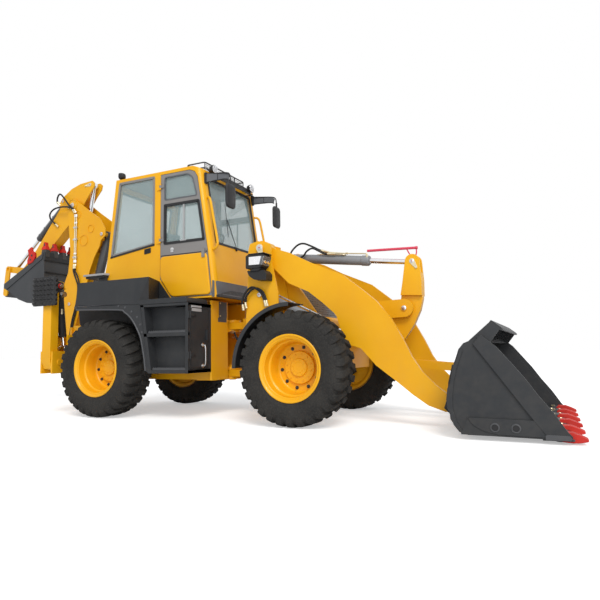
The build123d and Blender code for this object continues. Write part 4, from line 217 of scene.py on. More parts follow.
tyre_rubber = rubber("tyre_rubber", (0.020, 0.0195, 0.019), (0.066, 0.061, 0.054), 0.42)
hose_rubber = rubber("hose_rubber", (0.016, 0.016, 0.017), (0.05, 0.048, 0.046), 0.3, 0.6)
black_plastic = plastic("black_plastic", (0.024, 0.024, 0.026), (0.017, 0.017, 0.018), 0.42, 0.6)
grey_plastic = plastic("grey_plastic", (0.13, 0.135, 0.145), (0.10, 0.105, 0.115), 0.45, 0.6)
pale_grey = plastic("pale_grey", (0.42, 0.42, 0.42), (0.34, 0.34, 0.345), 0.4, 0.55)
cab_glass = glass("cab_glass", (0.36, 0.47, 0.475), 0.36)
lens_glass = glass("lens_glass", (0.85, 0.87, 0.90), 0.12)
black_fabric = rubber("black_fabric", (0.022, 0.022, 0.024), (0.05, 0.05, 0.052), 0.4, 0.9)
reflector = metal("reflector", (0.95, 0.95, 0.96), (0.85, 0.85, 0.88), 0.05, 0.12)


# Meshes


class Shape:
    """A mesh built from parts given in millimetres; a side of -1 mirrors what is added to it."""

    def __init__(self, side=1):
        self.mesh = bmesh.new()
        self.side = side
        self.mirror = Vector((1, side, 1))

    def vert(self, point):
        x, y, z = point
        return self.mesh.verts.new(at(x, self.side * y, z))

    def prism(self, low_ring, high_ring):
        """A closed body between two rings of the same number of points."""
        count = len(low_ring)
        low = [self.vert(p) for p in low_ring]
        high = [self.vert(p) for p in high_ring]
        self.mesh.faces.new(low)
        self.mesh.faces.new(high)
        for i in range(count):
            j = (i + 1) % count
            self.mesh.faces.new((low[i], low[j], high[j], high[i]))
        return self

    def slab(self, outline, y_low, y_high):
        """An outline in x and z, from one y to another."""
        return self.prism([(x, y_low, z) for x, z in outline], [(x, y_high, z) for x, z in outline])

    def plan(self, outline, z_low, z_high):
        """An outline in x and y, from one height to another."""
        return self.prism([(x, y, z_low) for x, y in outline], [(x, y, z_high) for x, y in outline])

    def across(self, outline, x_low, x_high):
        """An outline in y and z, from one x to another."""
        return self.prism([(x_low, y, z) for y, z in outline], [(x_high, y, z) for y, z in outline])

    def box(self, x_low, x_high, y_low, y_high, z_low, z_high):
        corners = [(x_low, z_low), (x_high, z_low), (x_high, z_high), (x_low, z_high)]
        return self.slab(corners, y_low, y_high)

    def rings(self, rings, closed=False):
        """A skin over rings of points, capped at both ends or joined round."""
        made = [[self.vert(p) for p in ring] for ring in rings]
        count = len(made[0])
        pairs = list(zip(made, made[1:])) + ([(made[-1], made[0])] if closed else [])
        for a, b in pairs:
            for i in range(count):
                j = (i + 1) % count
                self.mesh.faces.new((a[i], a[j], b[j], b[i]))
        if not closed:
            self.mesh.faces.new(made[0])
            self.mesh.faces.new(made[-1])
        return self

    def rod(self, start, end, radius, end_radius=None, sides=32):
        """A round bar or cone between two points."""
        start, end = Vector(start), Vector(end)
        line = ((end - start) * self.mirror).normalized()
        one = line.orthogonal().normalized()
        two = line.cross(one)
        ring = [
            (cos(2 * pi * i / sides) * one + sin(2 * pi * i / sides) * two) * self.mirror
            for i in range(sides)
        ]
        radii = (radius, radius if end_radius is None else end_radius)
        return self.prism([start + radii[0] * v for v in ring], [end + radii[1] * v for v in ring])

    def hexagon(self, start, end, radius):
        return self.rod(start, end, radius, sides=6)

    def disc(self, x, y, z, side, radius, tall, crown=0.12):
        """A round boss on a face that looks sideways, with a chamfered top."""
        top = y + side * tall
        self.rod((x, y, z), (x, top, z), radius, sides=40)
        return self.rod((x, top, z), (x, top + side * radius * crown, z), radius, radius * 0.8, 40)

    def band(self, outline, width, y_low, y_high):
        """A closed strip along the inside of an outline in x and z."""
        return self.rings([
            [(ax, y_low, az), (ax, y_high, az), (bx, y_high, bz), (bx, y_low, bz)]
            for (ax, az), (bx, bz) in zip(outline, inset(outline, width))
        ], True)

    def face_band(self, outline, width, face, back, front):
        """A closed strip inside an outline in y and z, on a face given as x at a height."""
        return self.rings([
            [(face(az) + back, ay, az), (face(az) + front, ay, az), (face(bz) + front, by, bz),
             (face(bz) + back, by, bz)]
            for (ay, az), (by, bz) in zip(outline, inset(outline, width))
        ], True)

    def bars(self, *stations):
        """A skin over upright rectangles across x, as (x, y_low, y_high, z_low, z_high)."""
        return self.rings([
            [(x, a, low), (x, b, low), (x, b, high), (x, a, high)] for x, a, b, low, high in stations
        ])

    def tiers(self, *stations):
        """A skin over level rectangles, as (x_low, x_high, y_low, y_high, z)."""
        return self.rings([
            [(a, low, z), (b, low, z), (b, high, z), (a, high, z)] for a, b, low, high, z in stations
        ])

    def tube(self, points, radius, sides=12, steps=8, closed=False):
        """A round tube along a smooth line through the points."""
        line = smooth_line(points, steps, closed)
        normal = None
        rings = []
        last = len(line) - 1
        for i, p in enumerate(line):
            before = line[i - 1] if i or closed else p
            after = line[(i + 1) % len(line)] if i < last or closed else p
            run = ((after - before) * self.mirror).normalized()
            if normal is None:
                normal = run.orthogonal().normalized()
            normal = (normal - run * normal.dot(run)).normalized()
            other = run.cross(normal)
            rings.append([
                p + (cos(2 * pi * k / sides) * normal + sin(2 * pi * k / sides) * other)
                * self.mirror * radius
                for k in range(sides)
            ])
        return self.rings(rings, closed)

    def lathe(self, profile, centre, axis, steps=64, closed=True):
        """A profile of (along, radius) pairs turned about an axis through centre."""
        axis = (Vector(axis) * self.mirror).normalized()
        one = axis.orthogonal().normalized()
        two = axis.cross(one)
        centre = Vector(centre)
        made = []
        for i in range(steps):
            out = cos(2 * pi * i / steps) * one + sin(2 * pi * i / steps) * two
            made.append([self.vert(centre + (axis * a + out * r) * self.mirror) for a, r in profile])
        count = len(profile)
        for i in range(steps):
            a, b = made[i], made[(i + 1) % steps]
            for k in range(count if closed else count - 1):
                m = (k + 1) % count
                self.mesh.faces.new((a[k], a[m], b[m], b[k]))
        return self

    def make(self, name, body, material, bevel=0.0, smooth=35.0, segments=2, slot=None):
        """Turns the mesh into a piece on a body, with edges rounded by bevel millimetres."""
        bmesh.ops.remove_doubles(self.mesh, verts=self.mesh.verts, dist=1e-6)
        bmesh.ops.recalc_face_normals(self.mesh, faces=self.mesh.faces)
        data = bpy.data.meshes.new(name)
        self.mesh.to_mesh(data)
        self.mesh.free()
        data.shade_smooth()
        data.set_sharp_from_angle(angle=radians(smooth))
        piece = bpy.data.objects.new(name, data)
        bpy.context.scene.collection.objects.link(piece)
        data.materials.append(material)
        if bevel:
            round_edges(piece, bevel, segments)
        if body:
            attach(piece, body)
        return piece


def smooth_line(points, steps, closed=False):
    """Points on a Catmull-Rom line through the given ones."""
    points = [Vector(p) for p in points]
    if len(points) < 3:
        return points
    count = len(points)
    line = []
    for i in range(count if closed else count - 1):
        if closed:
            a, b, c, d = (points[(i + k) % count] for k in (-1, 0, 1, 2))
        else:
            a, b, c = points[max(i - 1, 0)], points[i], points[i + 1]
            d = points[min(i + 2, count - 1)]
        for s in range(steps):
            t = s / steps
            square, cube = 2 * a - 5 * b + 4 * c - d, 3 * b - a - 3 * c + d
            line.append(0.5 * (2 * b + (c - a) * t + square * t * t + cube * t ** 3))
    if not closed:
        line.append(points[-1])
    return line


def round_edges(piece, width, segments=2, angle=32.0):
    """Rounds the sharp edges of a piece, in millimetres."""
    rounding = piece.modifiers.new("round", "BEVEL")
    rounding.width = width / 1000
    rounding.segments = segments
    rounding.limit_method = "ANGLE"
    rounding.angle_limit = radians(angle)
    rounding.harden_normals = True


def dress(name, material, width=3.0):
    """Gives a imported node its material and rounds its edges."""
    piece = nodes[name]
    piece.data.materials.clear()
    piece.data.materials.append(material)
    if width:
        weld = piece.modifiers.new("weld", "WELD")
        weld.merge_threshold = 0.00005
        round_edges(piece, width)


def repaint(name, material, inside):
    """Gives the faces of a node whose middle is inside a test a second material."""
    data = nodes[name].data
    data.materials.append(material)
    index = len(data.materials) - 1
    for face in data.polygons:
        middle = face.center
        place = (middle.x * 1000 - FRONT_AXLE_X, middle.y * 1000, middle.z * 1000)
        if inside(*place):
            face.material_index = index


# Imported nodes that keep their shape, with material and edge radius

DRESSES = (
    (yellow_paint, {
        "rear_frame": 3, "front_frame": 4, "digger_frame": 4, "cab": 5, "hood": 8, "loader_arms": 4,
        "bell_crank": 5, "tie_link": 4, "swing_post": 5, "boom": 3, "dipper": 3, "rocker": 3,
        "bucket_link": 3,
    }),
    (dark_iron, {
        "rear_axle": 6, "front_axle": 6, "engine": 6,
    }),
    (cab_glass, {
        "cab_glass": 0, "door_right_glass": 0, "door_left_glass": 0,
    }),
    (door_grey, {
        "door_right": 4, "door_left": 4,
    }),
    (black_plastic, {
        "steering_console": 8, "roof_lamps": 3, "mirrors": 3, "front_fenders": 3, "front_lamps": 6,
    }),
    (charcoal_paint, {
        "step_boxes": 6, "box_door": 4, "rear_fenders": 10, "loader_bucket": 3,
    }),
    (dark_grey_paint, {
        "grille": 0, "boom_cylinder_barrel": 3, "dipper_cylinder_barrel": 3,
        "bucket_cylinder_barrel": 3,
    }),
    (grey_paint, {
        "lift_cylinder_barrels": 3, "tilt_cylinder_barrel": 3,
    }),
    (chrome, {
        "lift_cylinder_rods": 1, "tilt_cylinder_rod": 1, "boom_cylinder_rod": 1,
        "dipper_cylinder_rod": 1, "bucket_cylinder_rod": 1,
    }),
    (rose_paint, {
        "level_indicator": 0,
    }),
    (digger_paint, {
        "digging_bucket": 3,
    }),
    (black_fabric, {
        "seat": 20,
    }),
)
for material, widths in DRESSES:
    for name, width in widths.items():
        dress(name, material, width)
# Painted shade: the rear fenders' front faces above 1330 mm get black plastic, darker than their charcoal
# paint, to hide the yellow light the cab throws onto them.
repaint("rear_fenders", black_plastic, lambda x, y, z: x > -2010 and z > 1330 and abs(y) > 640)
for place, side in SIDES:
    for part, material, width in (
        ("leg", yellow_paint, 4), ("pad", black_plastic, 4), ("barrel", charcoal_paint, 3),
        ("rod", chrome, 1),
    ):
        dress(f"stabilizer_{part}_{place}", material, width)


# Wheels: carcass with chunky lugs that run over the shoulder, and a deep rim with its hub

TYRE_PROFILE = (
    (-158, 306), (-168, 322), (-176, 350), (-184, 372), (-192, 382), (-193, 392), (-199, 420),
    (-203, 450),
    (-203, 476), (-199, 500), (-191, 522), (-181, 540), (-160, 553), (-120, 559), (-60, 561), (0, 561),
)
LUG_TOP = (
    (16, 587.5), (70, 587.5), (128, 585), (168, 577), (190, 562), (201, 538), (204, 512), (200, 498),
)
LUG_ROOT = ((16, 556), (70, 556), (124, 554), (156, 548), (174, 538), (184, 524), (192, 508), (194, 497))
LUG_HALF = (23, 27, 30, 33, 34, 33, 30, 26)
LUG_SKEW = (24, 10, -4, -10, -12, -12, -12, -12)
LUGS = 30
LUG_FLARE = 7
SIDE_RIB = ((440, -5), (440, 5), (478, 9), (478, -9))
SIDE_RIB_Y = (200, 205)


def tyre(name, node, body, x, side, start):
    """A carcass with two staggered rows of lugs and ribs on its side walls."""
    shape = Shape()
    profile = [(y * side, r) for y, r in TYRE_PROFILE]
    profile += [(-y * side, r) for y, r in reversed(TYRE_PROFILE[:-1])]
    centre = (x, side * WHEEL_Y, AXLE_Z)
    shape.lathe(profile, centre, (0, 1, 0), 120)
    pitch = 2 * pi / LUGS
    for half in (-1, 1):
        for index in range(LUGS):
            middle = start + (index + (0.5 if half > 0 else 0)) * pitch
            sections = []
            for (y_top, r_top), (y_root, r_root), wide, skew in zip(
                LUG_TOP, LUG_ROOT, LUG_HALF, LUG_SKEW,
            ):
                turn = middle + skew / r_top
                ring = []
                for y, r, angle in (
                    (y_root, r_root, turn - (wide + LUG_FLARE) / r_root),
                    (y_top, r_top, turn - wide / r_top), (y_top, r_top, turn + wide / r_top),
                    (y_root, r_root, turn + (wide + LUG_FLARE) / r_root),
                ):
                    ring.append((x + r * sin(angle), side * WHEEL_Y + half * y, AXLE_Z - r * cos(angle)))
                sections.append(ring)
            shape.rings(sections)
    for step in range(2 * LUGS):
        angle = start + step * pitch / 2
        for half in (-1, 1):
            shape.prism(*[
                [
                    (
                        x + r * sin(angle + w / r), side * WHEEL_Y + half * y,
                        AXLE_Z - r * cos(angle + w / r),
                    )
                    for r, w in SIDE_RIB
                ]
                for y in SIDE_RIB_Y
            ])
    piece = shape.make(name, body, tyre_rubber, 4, 40, 1)
    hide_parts(node)


RIM_PROFILE = (
    (160, 300), (166, 304), (167, 336), (171, 343), (179, 343), (183, 338), (183, 330), (178, 322),
    (170, 314), (160, 306), (152, 292), (92, 288), (74, 284), (62, 270), (48, 266), (-40, 262),
    (-74, 258), (-88, 250), (-94, 240), (-95, 176), (-92, 171), (-70, 169), (-64, 164), (-62, 96),
    (-58, 92), (-46, 92), (-43, 88), (-43, 58), (-40, 54), (-40, 0.01),
)
RIM_BACK = (
    (-112, 0.01), (-112, 236), (-118, 268), (-152, 286), (-166, 300), (-170, 318), (-171, 336),
    (-176, 343), (-168, 343), (-164, 336), (-162, 305), (-60, 304), (-40, 286), (40, 286), (60, 304),
)


def rim(name, node, body, x, side):
    """A deep rim with its hub, rings of bolts and nuts, and the valve."""
    shape = Shape()
    centre = Vector((x, side * WHEEL_Y, AXLE_Z))
    shape.lathe([(a * side, r) for a, r in (*RIM_PROFILE, *RIM_BACK)], centre, (0, 1, 0), 128)
    piece = shape.make(name, body, yellow_paint, 0, 30)
    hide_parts(node)
    bolts = Shape()
    nuts = Shape()
    for count, circle, face, size, tall, where in (
        (12, 138, -62, 8, 8, bolts), (8, 76, -43, 6, 6, bolts), (10, 212, -95, 13, 17, nuts),
    ):
        for index in range(count):
            angle = 2 * pi * index / count + 0.2
            spot = centre + Vector((circle * sin(angle), side * face, circle * cos(angle)))
            out = Vector((0, side * tall, 0))
            where.hexagon(spot - out * 0.3, spot + out, size)
            if where is nuts:
                where.rod(spot + out * 0.9, spot + out * 1.5, size * 0.5, sides=12)
                where.rod(spot - out * 0.2, spot + out * 0.2, size * 1.5, sides=20)
    stem = centre + Vector((236, side * -60, 60))
    nuts.rod(stem, stem + Vector((16, side * 60, 4)), 5, sides=12)
    bolts.make(f"{name}_hub_bolts", body, yellow_paint, 1)
    nuts.make(f"{name}_nuts", body, dark_iron, 1)


for place, x, side, start in (
    ("front_right", 0, -1, 0.02), ("front_left", 0, 1, 0.05),
    ("rear_right", -WHEELBASE, -1, 0.07), ("rear_left", -WHEELBASE, 1, 0.0),
):
    tyre(f"{place}_tread", f"{place}_tyre", f"wheel_{place}", x, side, start)
    rim(f"{place}_wheel", f"{place}_rim", f"wheel_{place}", x, side)

# Outlines in two of the axes


def inset(points, amount):
    """An outline moved inwards by an amount."""
    area = sum(a[0] * b[1] - b[0] * a[1] for a, b in zip(points, [*points[1:], points[0]]))
    moved = []
    for before, here, after in zip([points[-1], *points[:-1]], points, [*points[1:], points[0]]):
        one = (Vector(here) - Vector(before)).normalized()
        two = (Vector(after) - Vector(here)).normalized()
        if area < 0:
            one, two = -one, -two
        out = Vector((-one.y - two.y, one.x + two.x))
        moved.append(tuple(Vector(here) + out * amount / (1 + one.dot(two))))
    return moved


def arc(x, z, radius, *span):
    """Points round a centre in x and z, over a range of degrees."""
    return [(x + radius * cos(radians(a)), z + radius * sin(radians(a))) for a in range(*span)]


def rounded(points, radius, steps=5):
    """An outline with its corners rounded."""
    made = []
    for before, here, after in zip([points[-1], *points[:-1]], points, [*points[1:], points[0]]):
        before, here, after = Vector(before), Vector(here), Vector(after)
        reach = min(radius, (before - here).length / 2.01, (after - here).length / 2.01)
        start = here + (before - here).normalized() * reach
        end = here + (after - here).normalized() * reach
        for t in (s / steps for s in range(steps + 1)):
            made.append(tuple(start * (1 - t) ** 2 + here * 2 * t * (1 - t) + end * t * t))
    return made


# Pins across the machine: name, body, x, z, outer face, pin radius, then the length of a lock plate
# and its direction in degrees

PIN_ENDS = (
    ("arm_pivot", "front_frame", -545, 1921, 622, 34, 86, -75),
    ("lift_base", "front_frame", -560, 1391, 610, 26, 0, 0),
    ("bucket_pin", "loader_bucket", 1480, 207, 564, 28, 70, 60),
    ("crank_pin", "loader_arms", 948, 1202, 113, 26, 0, 0),
    ("crank_top", "bell_crank", 1045, 1712, 77, 24, 84, -58),
    ("link_pin", "loader_bucket", 1460, 566, 76, 20, 0, 0),
    ("dipper_pivot", "boom", -4040, 2995, 138, 30, 80, 200),
    ("boom_cylinder_top", "boom", -3440, 2490, 138, 25, 0, 0),
    ("dipper_cylinder_base", "boom", -4060, 1500, 138, 24, 0, 0),
    ("dipper_cylinder_eye", "dipper", -3744, 3282, 84, 22, 84, 185),
    ("boom_foot", "swing_post", -4095, 790, 174, 30, 76, 30),
    ("dipper_tip", "digging_bucket", -5300, 1880, 128, 24, 62, 120),
    ("rocker_pin", "dipper", -5080, 2075, 118, 24, 0, 0),
    ("curl_base", "dipper", -4300, 3100, 90, 20, 0, 0),
)
for name, body, x, z, reach, radius, plate_length, angle in PIN_ENDS:
    pins, plates, dots = Shape(), Shape(), Shape()
    for place, side in SIDES:
        y = side * reach
        pins.disc(x, y - side * 4, z, side, radius, 8)
        dots.disc(x, y + side * 4, z, side, radius * 0.22, 7, 0.5)
        if plate_length:
            run = Vector((cos(radians(angle)), sin(radians(angle))))
            cross = Vector((-run.y, run.x))
            outline = []
            for turn in range(-90, 91, 15):
                spot = (run * -cos(radians(turn)) - cross * sin(radians(turn))) * radius * 1.25
                outline.append((x + spot.x, z + spot.y))
            for turn in range(-90, 91, 15):
                spot = (run * cos(radians(turn)) + cross * sin(radians(turn))) * radius * 0.6
                outline.append((x + run.x * plate_length + spot.x, z + run.y * plate_length + spot.y))
            plates.slab(outline, y - side * 2, y + side * 5)
            bolt = (x + run.x * plate_length, y + side * 5, z + run.y * plate_length)
            plates.hexagon(bolt, (bolt[0], bolt[1] + side * 9, bolt[2]), 13)
    pins.make(f"{name}_ends", body, steel, 1)
    dots.make(f"{name}_grease_nipples", body, red_paint)
    if plate_length:
        plates.make(f"{name}_retainers", body, zinc, 1)
    else:
        plates.mesh.free()

# Cylinders: gland collars, ports and pipes
# Name, body, base, eye, y, barrel radius, barrel length and rod radius

CYLINDERS = (
    ("lift_right", "lift_barrels", (-560, 1391), (483, 880), -429, 46, 760, 30),
    ("lift_left", "lift_barrels", (-560, 1391), (483, 880), 429, 46, 760, 30),
    ("tilt", "tilt_barrel", (-500, 1888), (1045, 1712), 0, 55, 1050, 30),
    ("boom_cylinder", "boom_barrel", (-3440, 2490), (-3860, 1040), 0, 62, 1230, 34),
    ("dipper_cylinder", "dipper_barrel", (-4060, 1500), (-3744, 3282), 0, 55, 1110, 30),
    ("curl_cylinder", "dipper", (-4300, 3100), (-5440, 2130), 0, 45, 800, 26),
)
for name, body, base, eye, y, radius, length, rod_radius in CYLINDERS:
    start, end = Vector((base[0], y, base[1])), Vector((eye[0], y, eye[1]))
    run = (end - start).normalized()
    up = Vector((0, 1, 0)).cross(run)
    up = up if up.z > 0 else -up
    head = start + run * length
    collar = Shape()
    profile = (
        (-92, radius + 0.5), (-86, radius + 5), (-10, radius + 5), (-2, radius + 1), (3, radius - 4),
        (3, rod_radius + 9), (14, rod_radius + 7), (14, rod_radius + 1.2), (-92, rod_radius + 1.2),
    )
    collar.lathe(profile, head, run, 64)
    for index in range(8):
        turn = 2 * pi * index / 8
        spot = head + (up * cos(turn) + Vector((0, 1, 0)) * sin(turn)) * (radius - 12)
        collar.hexagon(spot, spot + run * 9, 7)
    coat = grey_paint if name.startswith(("lift", "tilt")) else dark_grey_paint
    collar.make(f"{name}_gland", body, coat, 1)
    if name == "tilt":
        continue
    pipe, ports = Shape(), Shape()
    lift = radius + 20
    back = start + run * (length * 0.16)
    front = head - run * 50
    pipe.tube(
        [front + up * radius, front + up * (lift - 4), front - run * 30 + up * lift, back + up * lift],
        8,
    )
    for spot in (front, back):
        ports.rod(spot + up * (radius - 2), spot + up * (radius + 13), 15, sides=24)
        ports.hexagon(spot + up * (radius + 13), spot + up * (radius + 25), 13)
    for share in (0.45, 0.75):
        spot = start + run * (length * share)
        ports.rod(spot - run * 9 + up * lift, spot + run * 9 + up * lift, 12, sides=20)
        ports.rod(spot + up * (radius - 1), spot + up * lift, 6, sides=12)
    pipe.make(f"{name}_pipe", body, steel)
    ports.make(f"{name}_ports", body, coat, 1)

# The tilt cylinder's two pipes: a long one to the rod end and a short one back to the base port
tilt_pipes, tilt_ports = Shape(), Shape()
tilt_pipes.tube(
    [(526, -38, 1800), (524, -40, 1838), (500, -40, 1850), (267, -40, 1874), (60, -40, 1905)], 8,
)
tilt_pipes.tube(
    [(-97, -12, 1866), (-97, -12, 1886), (-70, -14, 1893), (120, -18, 1872), (236, -20, 1860)], 8,
)
tilt_pipes.tube(
    [(236, -20, 1860), (262, -24, 1856), (262, -44, 1856), (236, -56, 1861), (150, -58, 1872)], 8,
)
for start, end, size in (
    ((60, -40, 1905), (22, -40, 1915), 15), ((150, -58, 1872), (112, -58, 1876), 15),
    ((300, -40, 1870), (270, -40, 1874), 13), ((-97, -12, 1862), (-97, -12, 1888), 15),
    ((526, -38, 1802), (526, -39, 1836), 15), ((-60, -14, 1892), (-34, -15, 1889), 13),
):
    tilt_ports.hexagon(start, end, size)
tilt_pipes.make("tilt_pipes", "tilt_barrel", zinc)
tilt_ports.make("tilt_pipe_unions", "tilt_barrel", zinc, 1)


# Hoses, held by fittings at both ends


def hose(name, bodies, radius, points):
    """A hose on one body, or one between two bodies that is left on neither, with its fittings on the end
    bodies.
    """
    shape = Shape().tube(points, radius, 14, 10)
    first, last = bodies[0], bodies[-1]
    if len(bodies) == 1:
        shape.make(name, first, hose_rubber)
    else:
        piece = shape.make(name, None, hose_rubber)
        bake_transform(piece)
    for tag, body, tip, inner in (
        ("a", first, points[0], points[1]), ("b", last, points[-1], points[-2]),
    ):
        run = (Vector(inner) - Vector(tip)).normalized()
        tip = Vector(tip)
        ferrule = Shape().rod(tip + run * 16, tip + run * 62, radius + 3.5, sides=24)
        for ring in range(4):
            spot = tip + run * (24 + 10 * ring)
            ferrule.rod(spot, spot + run * 4, radius + 4.6, sides=24)
        ferrule.hexagon(tip - run * 6, tip + run * 18, radius + 5)
        ferrule.make(f"{name}_fitting_{tag}", body, zinc, 0.6)


hose("tilt_hose_long", ("front_frame", "tilt_barrel"), 11, (
    (-470, -66, 1840), (-440, -62, 1900), (-412, -55, 1965), (-340, -46, 2030), (-262, -42, 2042),
    (-160, -40, 2000), (-60, -40, 1946), (22, -40, 1915),
))
hose("tilt_hose_short", ("front_frame", "tilt_barrel"), 11, (
    (-455, -92, 1800), (-400, -92, 1835), (-260, -86, 1876), (-205, -80, 1938), (-135, -74, 1966),
    (-55, -66, 1928), (20, -60, 1888), (112, -58, 1876),
))
for index, shift in enumerate((0, 38)):
    hose(f"side_hose_{index + 1}", ("front_frame",), 12, (
        (-758 + shift, -626, 1228 + 0.6 * shift), (-768 + shift, -630, 1330),
        (-722 + shift, -634 - 0.4 * shift, 1424 - 0.5 * shift),
        (-636 + shift, -636 - 0.4 * shift, 1478 - 0.4 * shift), (-540 + 0.8 * shift, -632, 1424),
        (-486 + 0.6 * shift, -628, 1330), (-470 + 0.5 * shift, -624, 1262),
    ))
for index, y in enumerate((-110, -60, 60, 110)):
    hose(f"pivot_hose_{index + 1}", ("rear_frame", "front_frame"), 12, (
        (-1262, y, 1000 - 60 * (index % 2)), (-1210, y, 1000 - 60 * (index % 2)),
        (-1110, 1.5 * y, 900 - 40 * (index % 2)), (-1020, y, 990 - 60 * (index % 2)),
        (-968, y, 990 - 60 * (index % 2)),
    ))
for index, (x, swing) in enumerate(((-3968, 0), (-3938, 1))):
    hose(f"boom_low_hose_{index + 1}", ("boom", "swing_post"), 11, (
        (x, -146, 2082), (x - 6, -150, 1990), (x + 44 + 10 * swing, -152, 1880 + 20 * swing),
        (x + 96, -152, 1740), (x + 70, -152, 1500), (x - 10, -152, 1240), (x - 40, -158, 1010),
        (x - 60, -140, 900),
    ))
hose("dipper_hose_high", ("boom", "dipper"), 12, (
    (-3975, -148, 2868), (-4010, -150, 2914), (-4100, -150, 3000), (-4215, -146, 3130),
    (-4316, -132, 3205), (-4396, -108, 3168), (-4410, -96, 3096), (-4376, -78, 3052),
))
hose("dipper_hose_low", ("boom", "dipper"), 12, (
    (-3945, -152, 2866), (-3990, -158, 2926), (-4100, -166, 2968), (-4260, -166, 2986),
    (-4420, -150, 2976),
    (-4522, -132, 2920), (-4528, -116, 2846), (-4450, -104, 2772), (-4378, -98, 2712),
))
for place, side in SIDES:
    hose(f"leg_hose_{place}", (f"stabilizer_leg_{place}",), 10, (
        (-3440, side * 880, 1528), (-3396, side * 896, 1560), (-3348, side * 884, 1490),
        (-3360, side * 862, 1380), (-3376, side * 846, 1290),
    ))

# Pipes along the boom's sides with their clips
for place, side in SIDES:
    pipes, clips = Shape(side), Shape(side)
    for x in (-3968, -3938):
        pipes.tube([(x - 4, 147, 2840), (x, 146, 2760), (x, 144, 2230), (x, 146, 2120)], 9)
        for z_low, z_high, size in (
            (2110, 2146, 15), (2800, 2838, 16), (2700, 2722, 14), (2236, 2254, 14),
        ):
            clips.hexagon((x, 145, z_low), (x, 145, z_high), size)
    for z in (2190, 2460, 2640):
        clips.box(-3990, -3916, 129, 158, z - 13, z + 13)
        clips.hexagon((-3953, 156, z), (-3953, 166, z), 8)
    pipes.make(f"boom_pipes_{place}", "boom", zinc)
    clips.make(f"boom_pipe_unions_{place}", "boom", steel, 1)

# Boom: raised rings round the cross tubes
for place, side in SIDES:
    rings = Shape(side)
    for x, z, radius in ((-3659, 2593, 62), (-3796, 2431, 82), (-3926, 2834, 60), (-4040, 2995, 92)):
        rings.band(arc(x, z, radius, 0, 360, 9), 8, 128, 138)
    rings.make(f"boom_rings_{place}", "boom", yellow_paint, 2)

# Cab: seals, door panels, rails, lock, vent, wiper, skirt, roof rack, lamps and mirrors

DOOR_PANEL = [(-1944, 1672), (-1944, 1940), (-1257, 1940), (-1198, 1434), (-1772, 1434)]
DOOR_UPPER = [(-1890, 2655), (-1890, 2940), (-1540, 2940), (-1468, 2886), (-1406, 2655)]
DOOR_LOWER = [(-1890, 2100), (-1890, 2588), (-1378, 2588), (-1300, 2100)]
REAR_WINDOW = [(-2765, 2010), (-2635, 2982), (-2052, 2982), (-2052, 2107)]
SLOPE = (1350 - 1192) / (2983 - 1955)


def front_x(z):
    """The cab's front face at a height."""
    return -1192 - SLOPE * (z - 1955) if z > 1955 else -1125 - (1192 - 1125) * (z - 1400) / 555


for place, side in SIDES:
    door = f"door_{place}"
    panel = Shape(side).slab(rounded(DOOR_PANEL, 60), 612, 641)
    panel.make(f"{door}_panel", door, yellow_paint, 20, segments=4)
    seals = Shape(side).band(rounded(inset(DOOR_UPPER, -9), 34), 15, 612, 624)
    seals.make(f"{door}_upper_seal", door, grey_plastic, 2)
    sash = Shape(side).band(rounded(inset(DOOR_LOWER, -12), 22), 32, 606, 627)
    sash.make(f"{door}_sash", door, black_plastic, 2)
    bars = Shape(side).slab([(-1612, 2118), (-1612, 2570), (-1592, 2570), (-1592, 2118)], 609, 622)
    bars.slab([(-1648, 2112), (-1648, 2124), (-1560, 2124), (-1560, 2112)], 609, 630)
    bars.make(f"{door}_sliding_bars", door, pale_grey, 1)
    edge = Shape(side).slab(
        [(-1946, 1946), (-1946, 1957), (-1256, 1957), (-1255, 1946)], 618, 623
    )
    edge.make(f"{door}_band_seal", door, black_plastic, 1)
    lock = Shape().disc(-1772, side * 619, 2021, side, 24, 7)
    lock.disc(-1772, side * 624, 2021, side, 12, 10)
    lock.slab(
        rounded([(-1792, 1986), (-1792, 2006), (-1752, 2006), (-1752, 1986)], 5), side * 618, side * 626,
    )
    lock.make(f"{door}_lock", door, steel, 1)
    trim = Shape(side).band(rounded(inset(REAR_WINDOW, -4), 26), 30, 612, 625)
    trim.make(f"rear_side_trim_{place}", "rear_frame", door_grey, 3)
    sill = Shape(side).slab([(-2772, 1992), (-2772, 2016), (-2046, 2120), (-2046, 2094)], 619, 627)
    sill.make(f"rear_side_sill_{place}", "rear_frame", black_plastic, 2)
    vent = Shape(side).slab(
        rounded([(-2206, 1996), (-2206, 2060), (-2104, 2074), (-2104, 2010)], 8), 619, 628,
    )
    for row in range(4):
        z = 2012 + 12 * row
        vent.slab([(-2196, z), (-2196, z + 4), (-2114, z + 16), (-2114, z + 12)], 627, 631)
    vent.make(f"side_vent_{place}", "rear_frame", black_plastic, 2)
    rail = Shape(side).tube([(front_x(face_z) + out, y, z) for face_z, out, y, z in (
        (2610, 2, 560, 2618), (2600, 36, 584, 2612), (2560, 62, 596, 2560), (2350, 74, 600, 2350),
        (2080, 88, 602, 2080), (2020, 76, 600, 2010), (1985, 30, 592, 1978), (1980, 2, 580, 1976),
    )], 15, 16)
    rail.make(f"grab_rail_{place}", "rear_frame", yellow_paint)
    skirt = Shape(side).slab([(-1188, 1404), (-1180, 1600), (-1150, 1592), (-1150, 1404)], 621, 625)
    skirt.make(f"cab_skirt_side_{place}", "rear_frame", grey_plastic, 2)

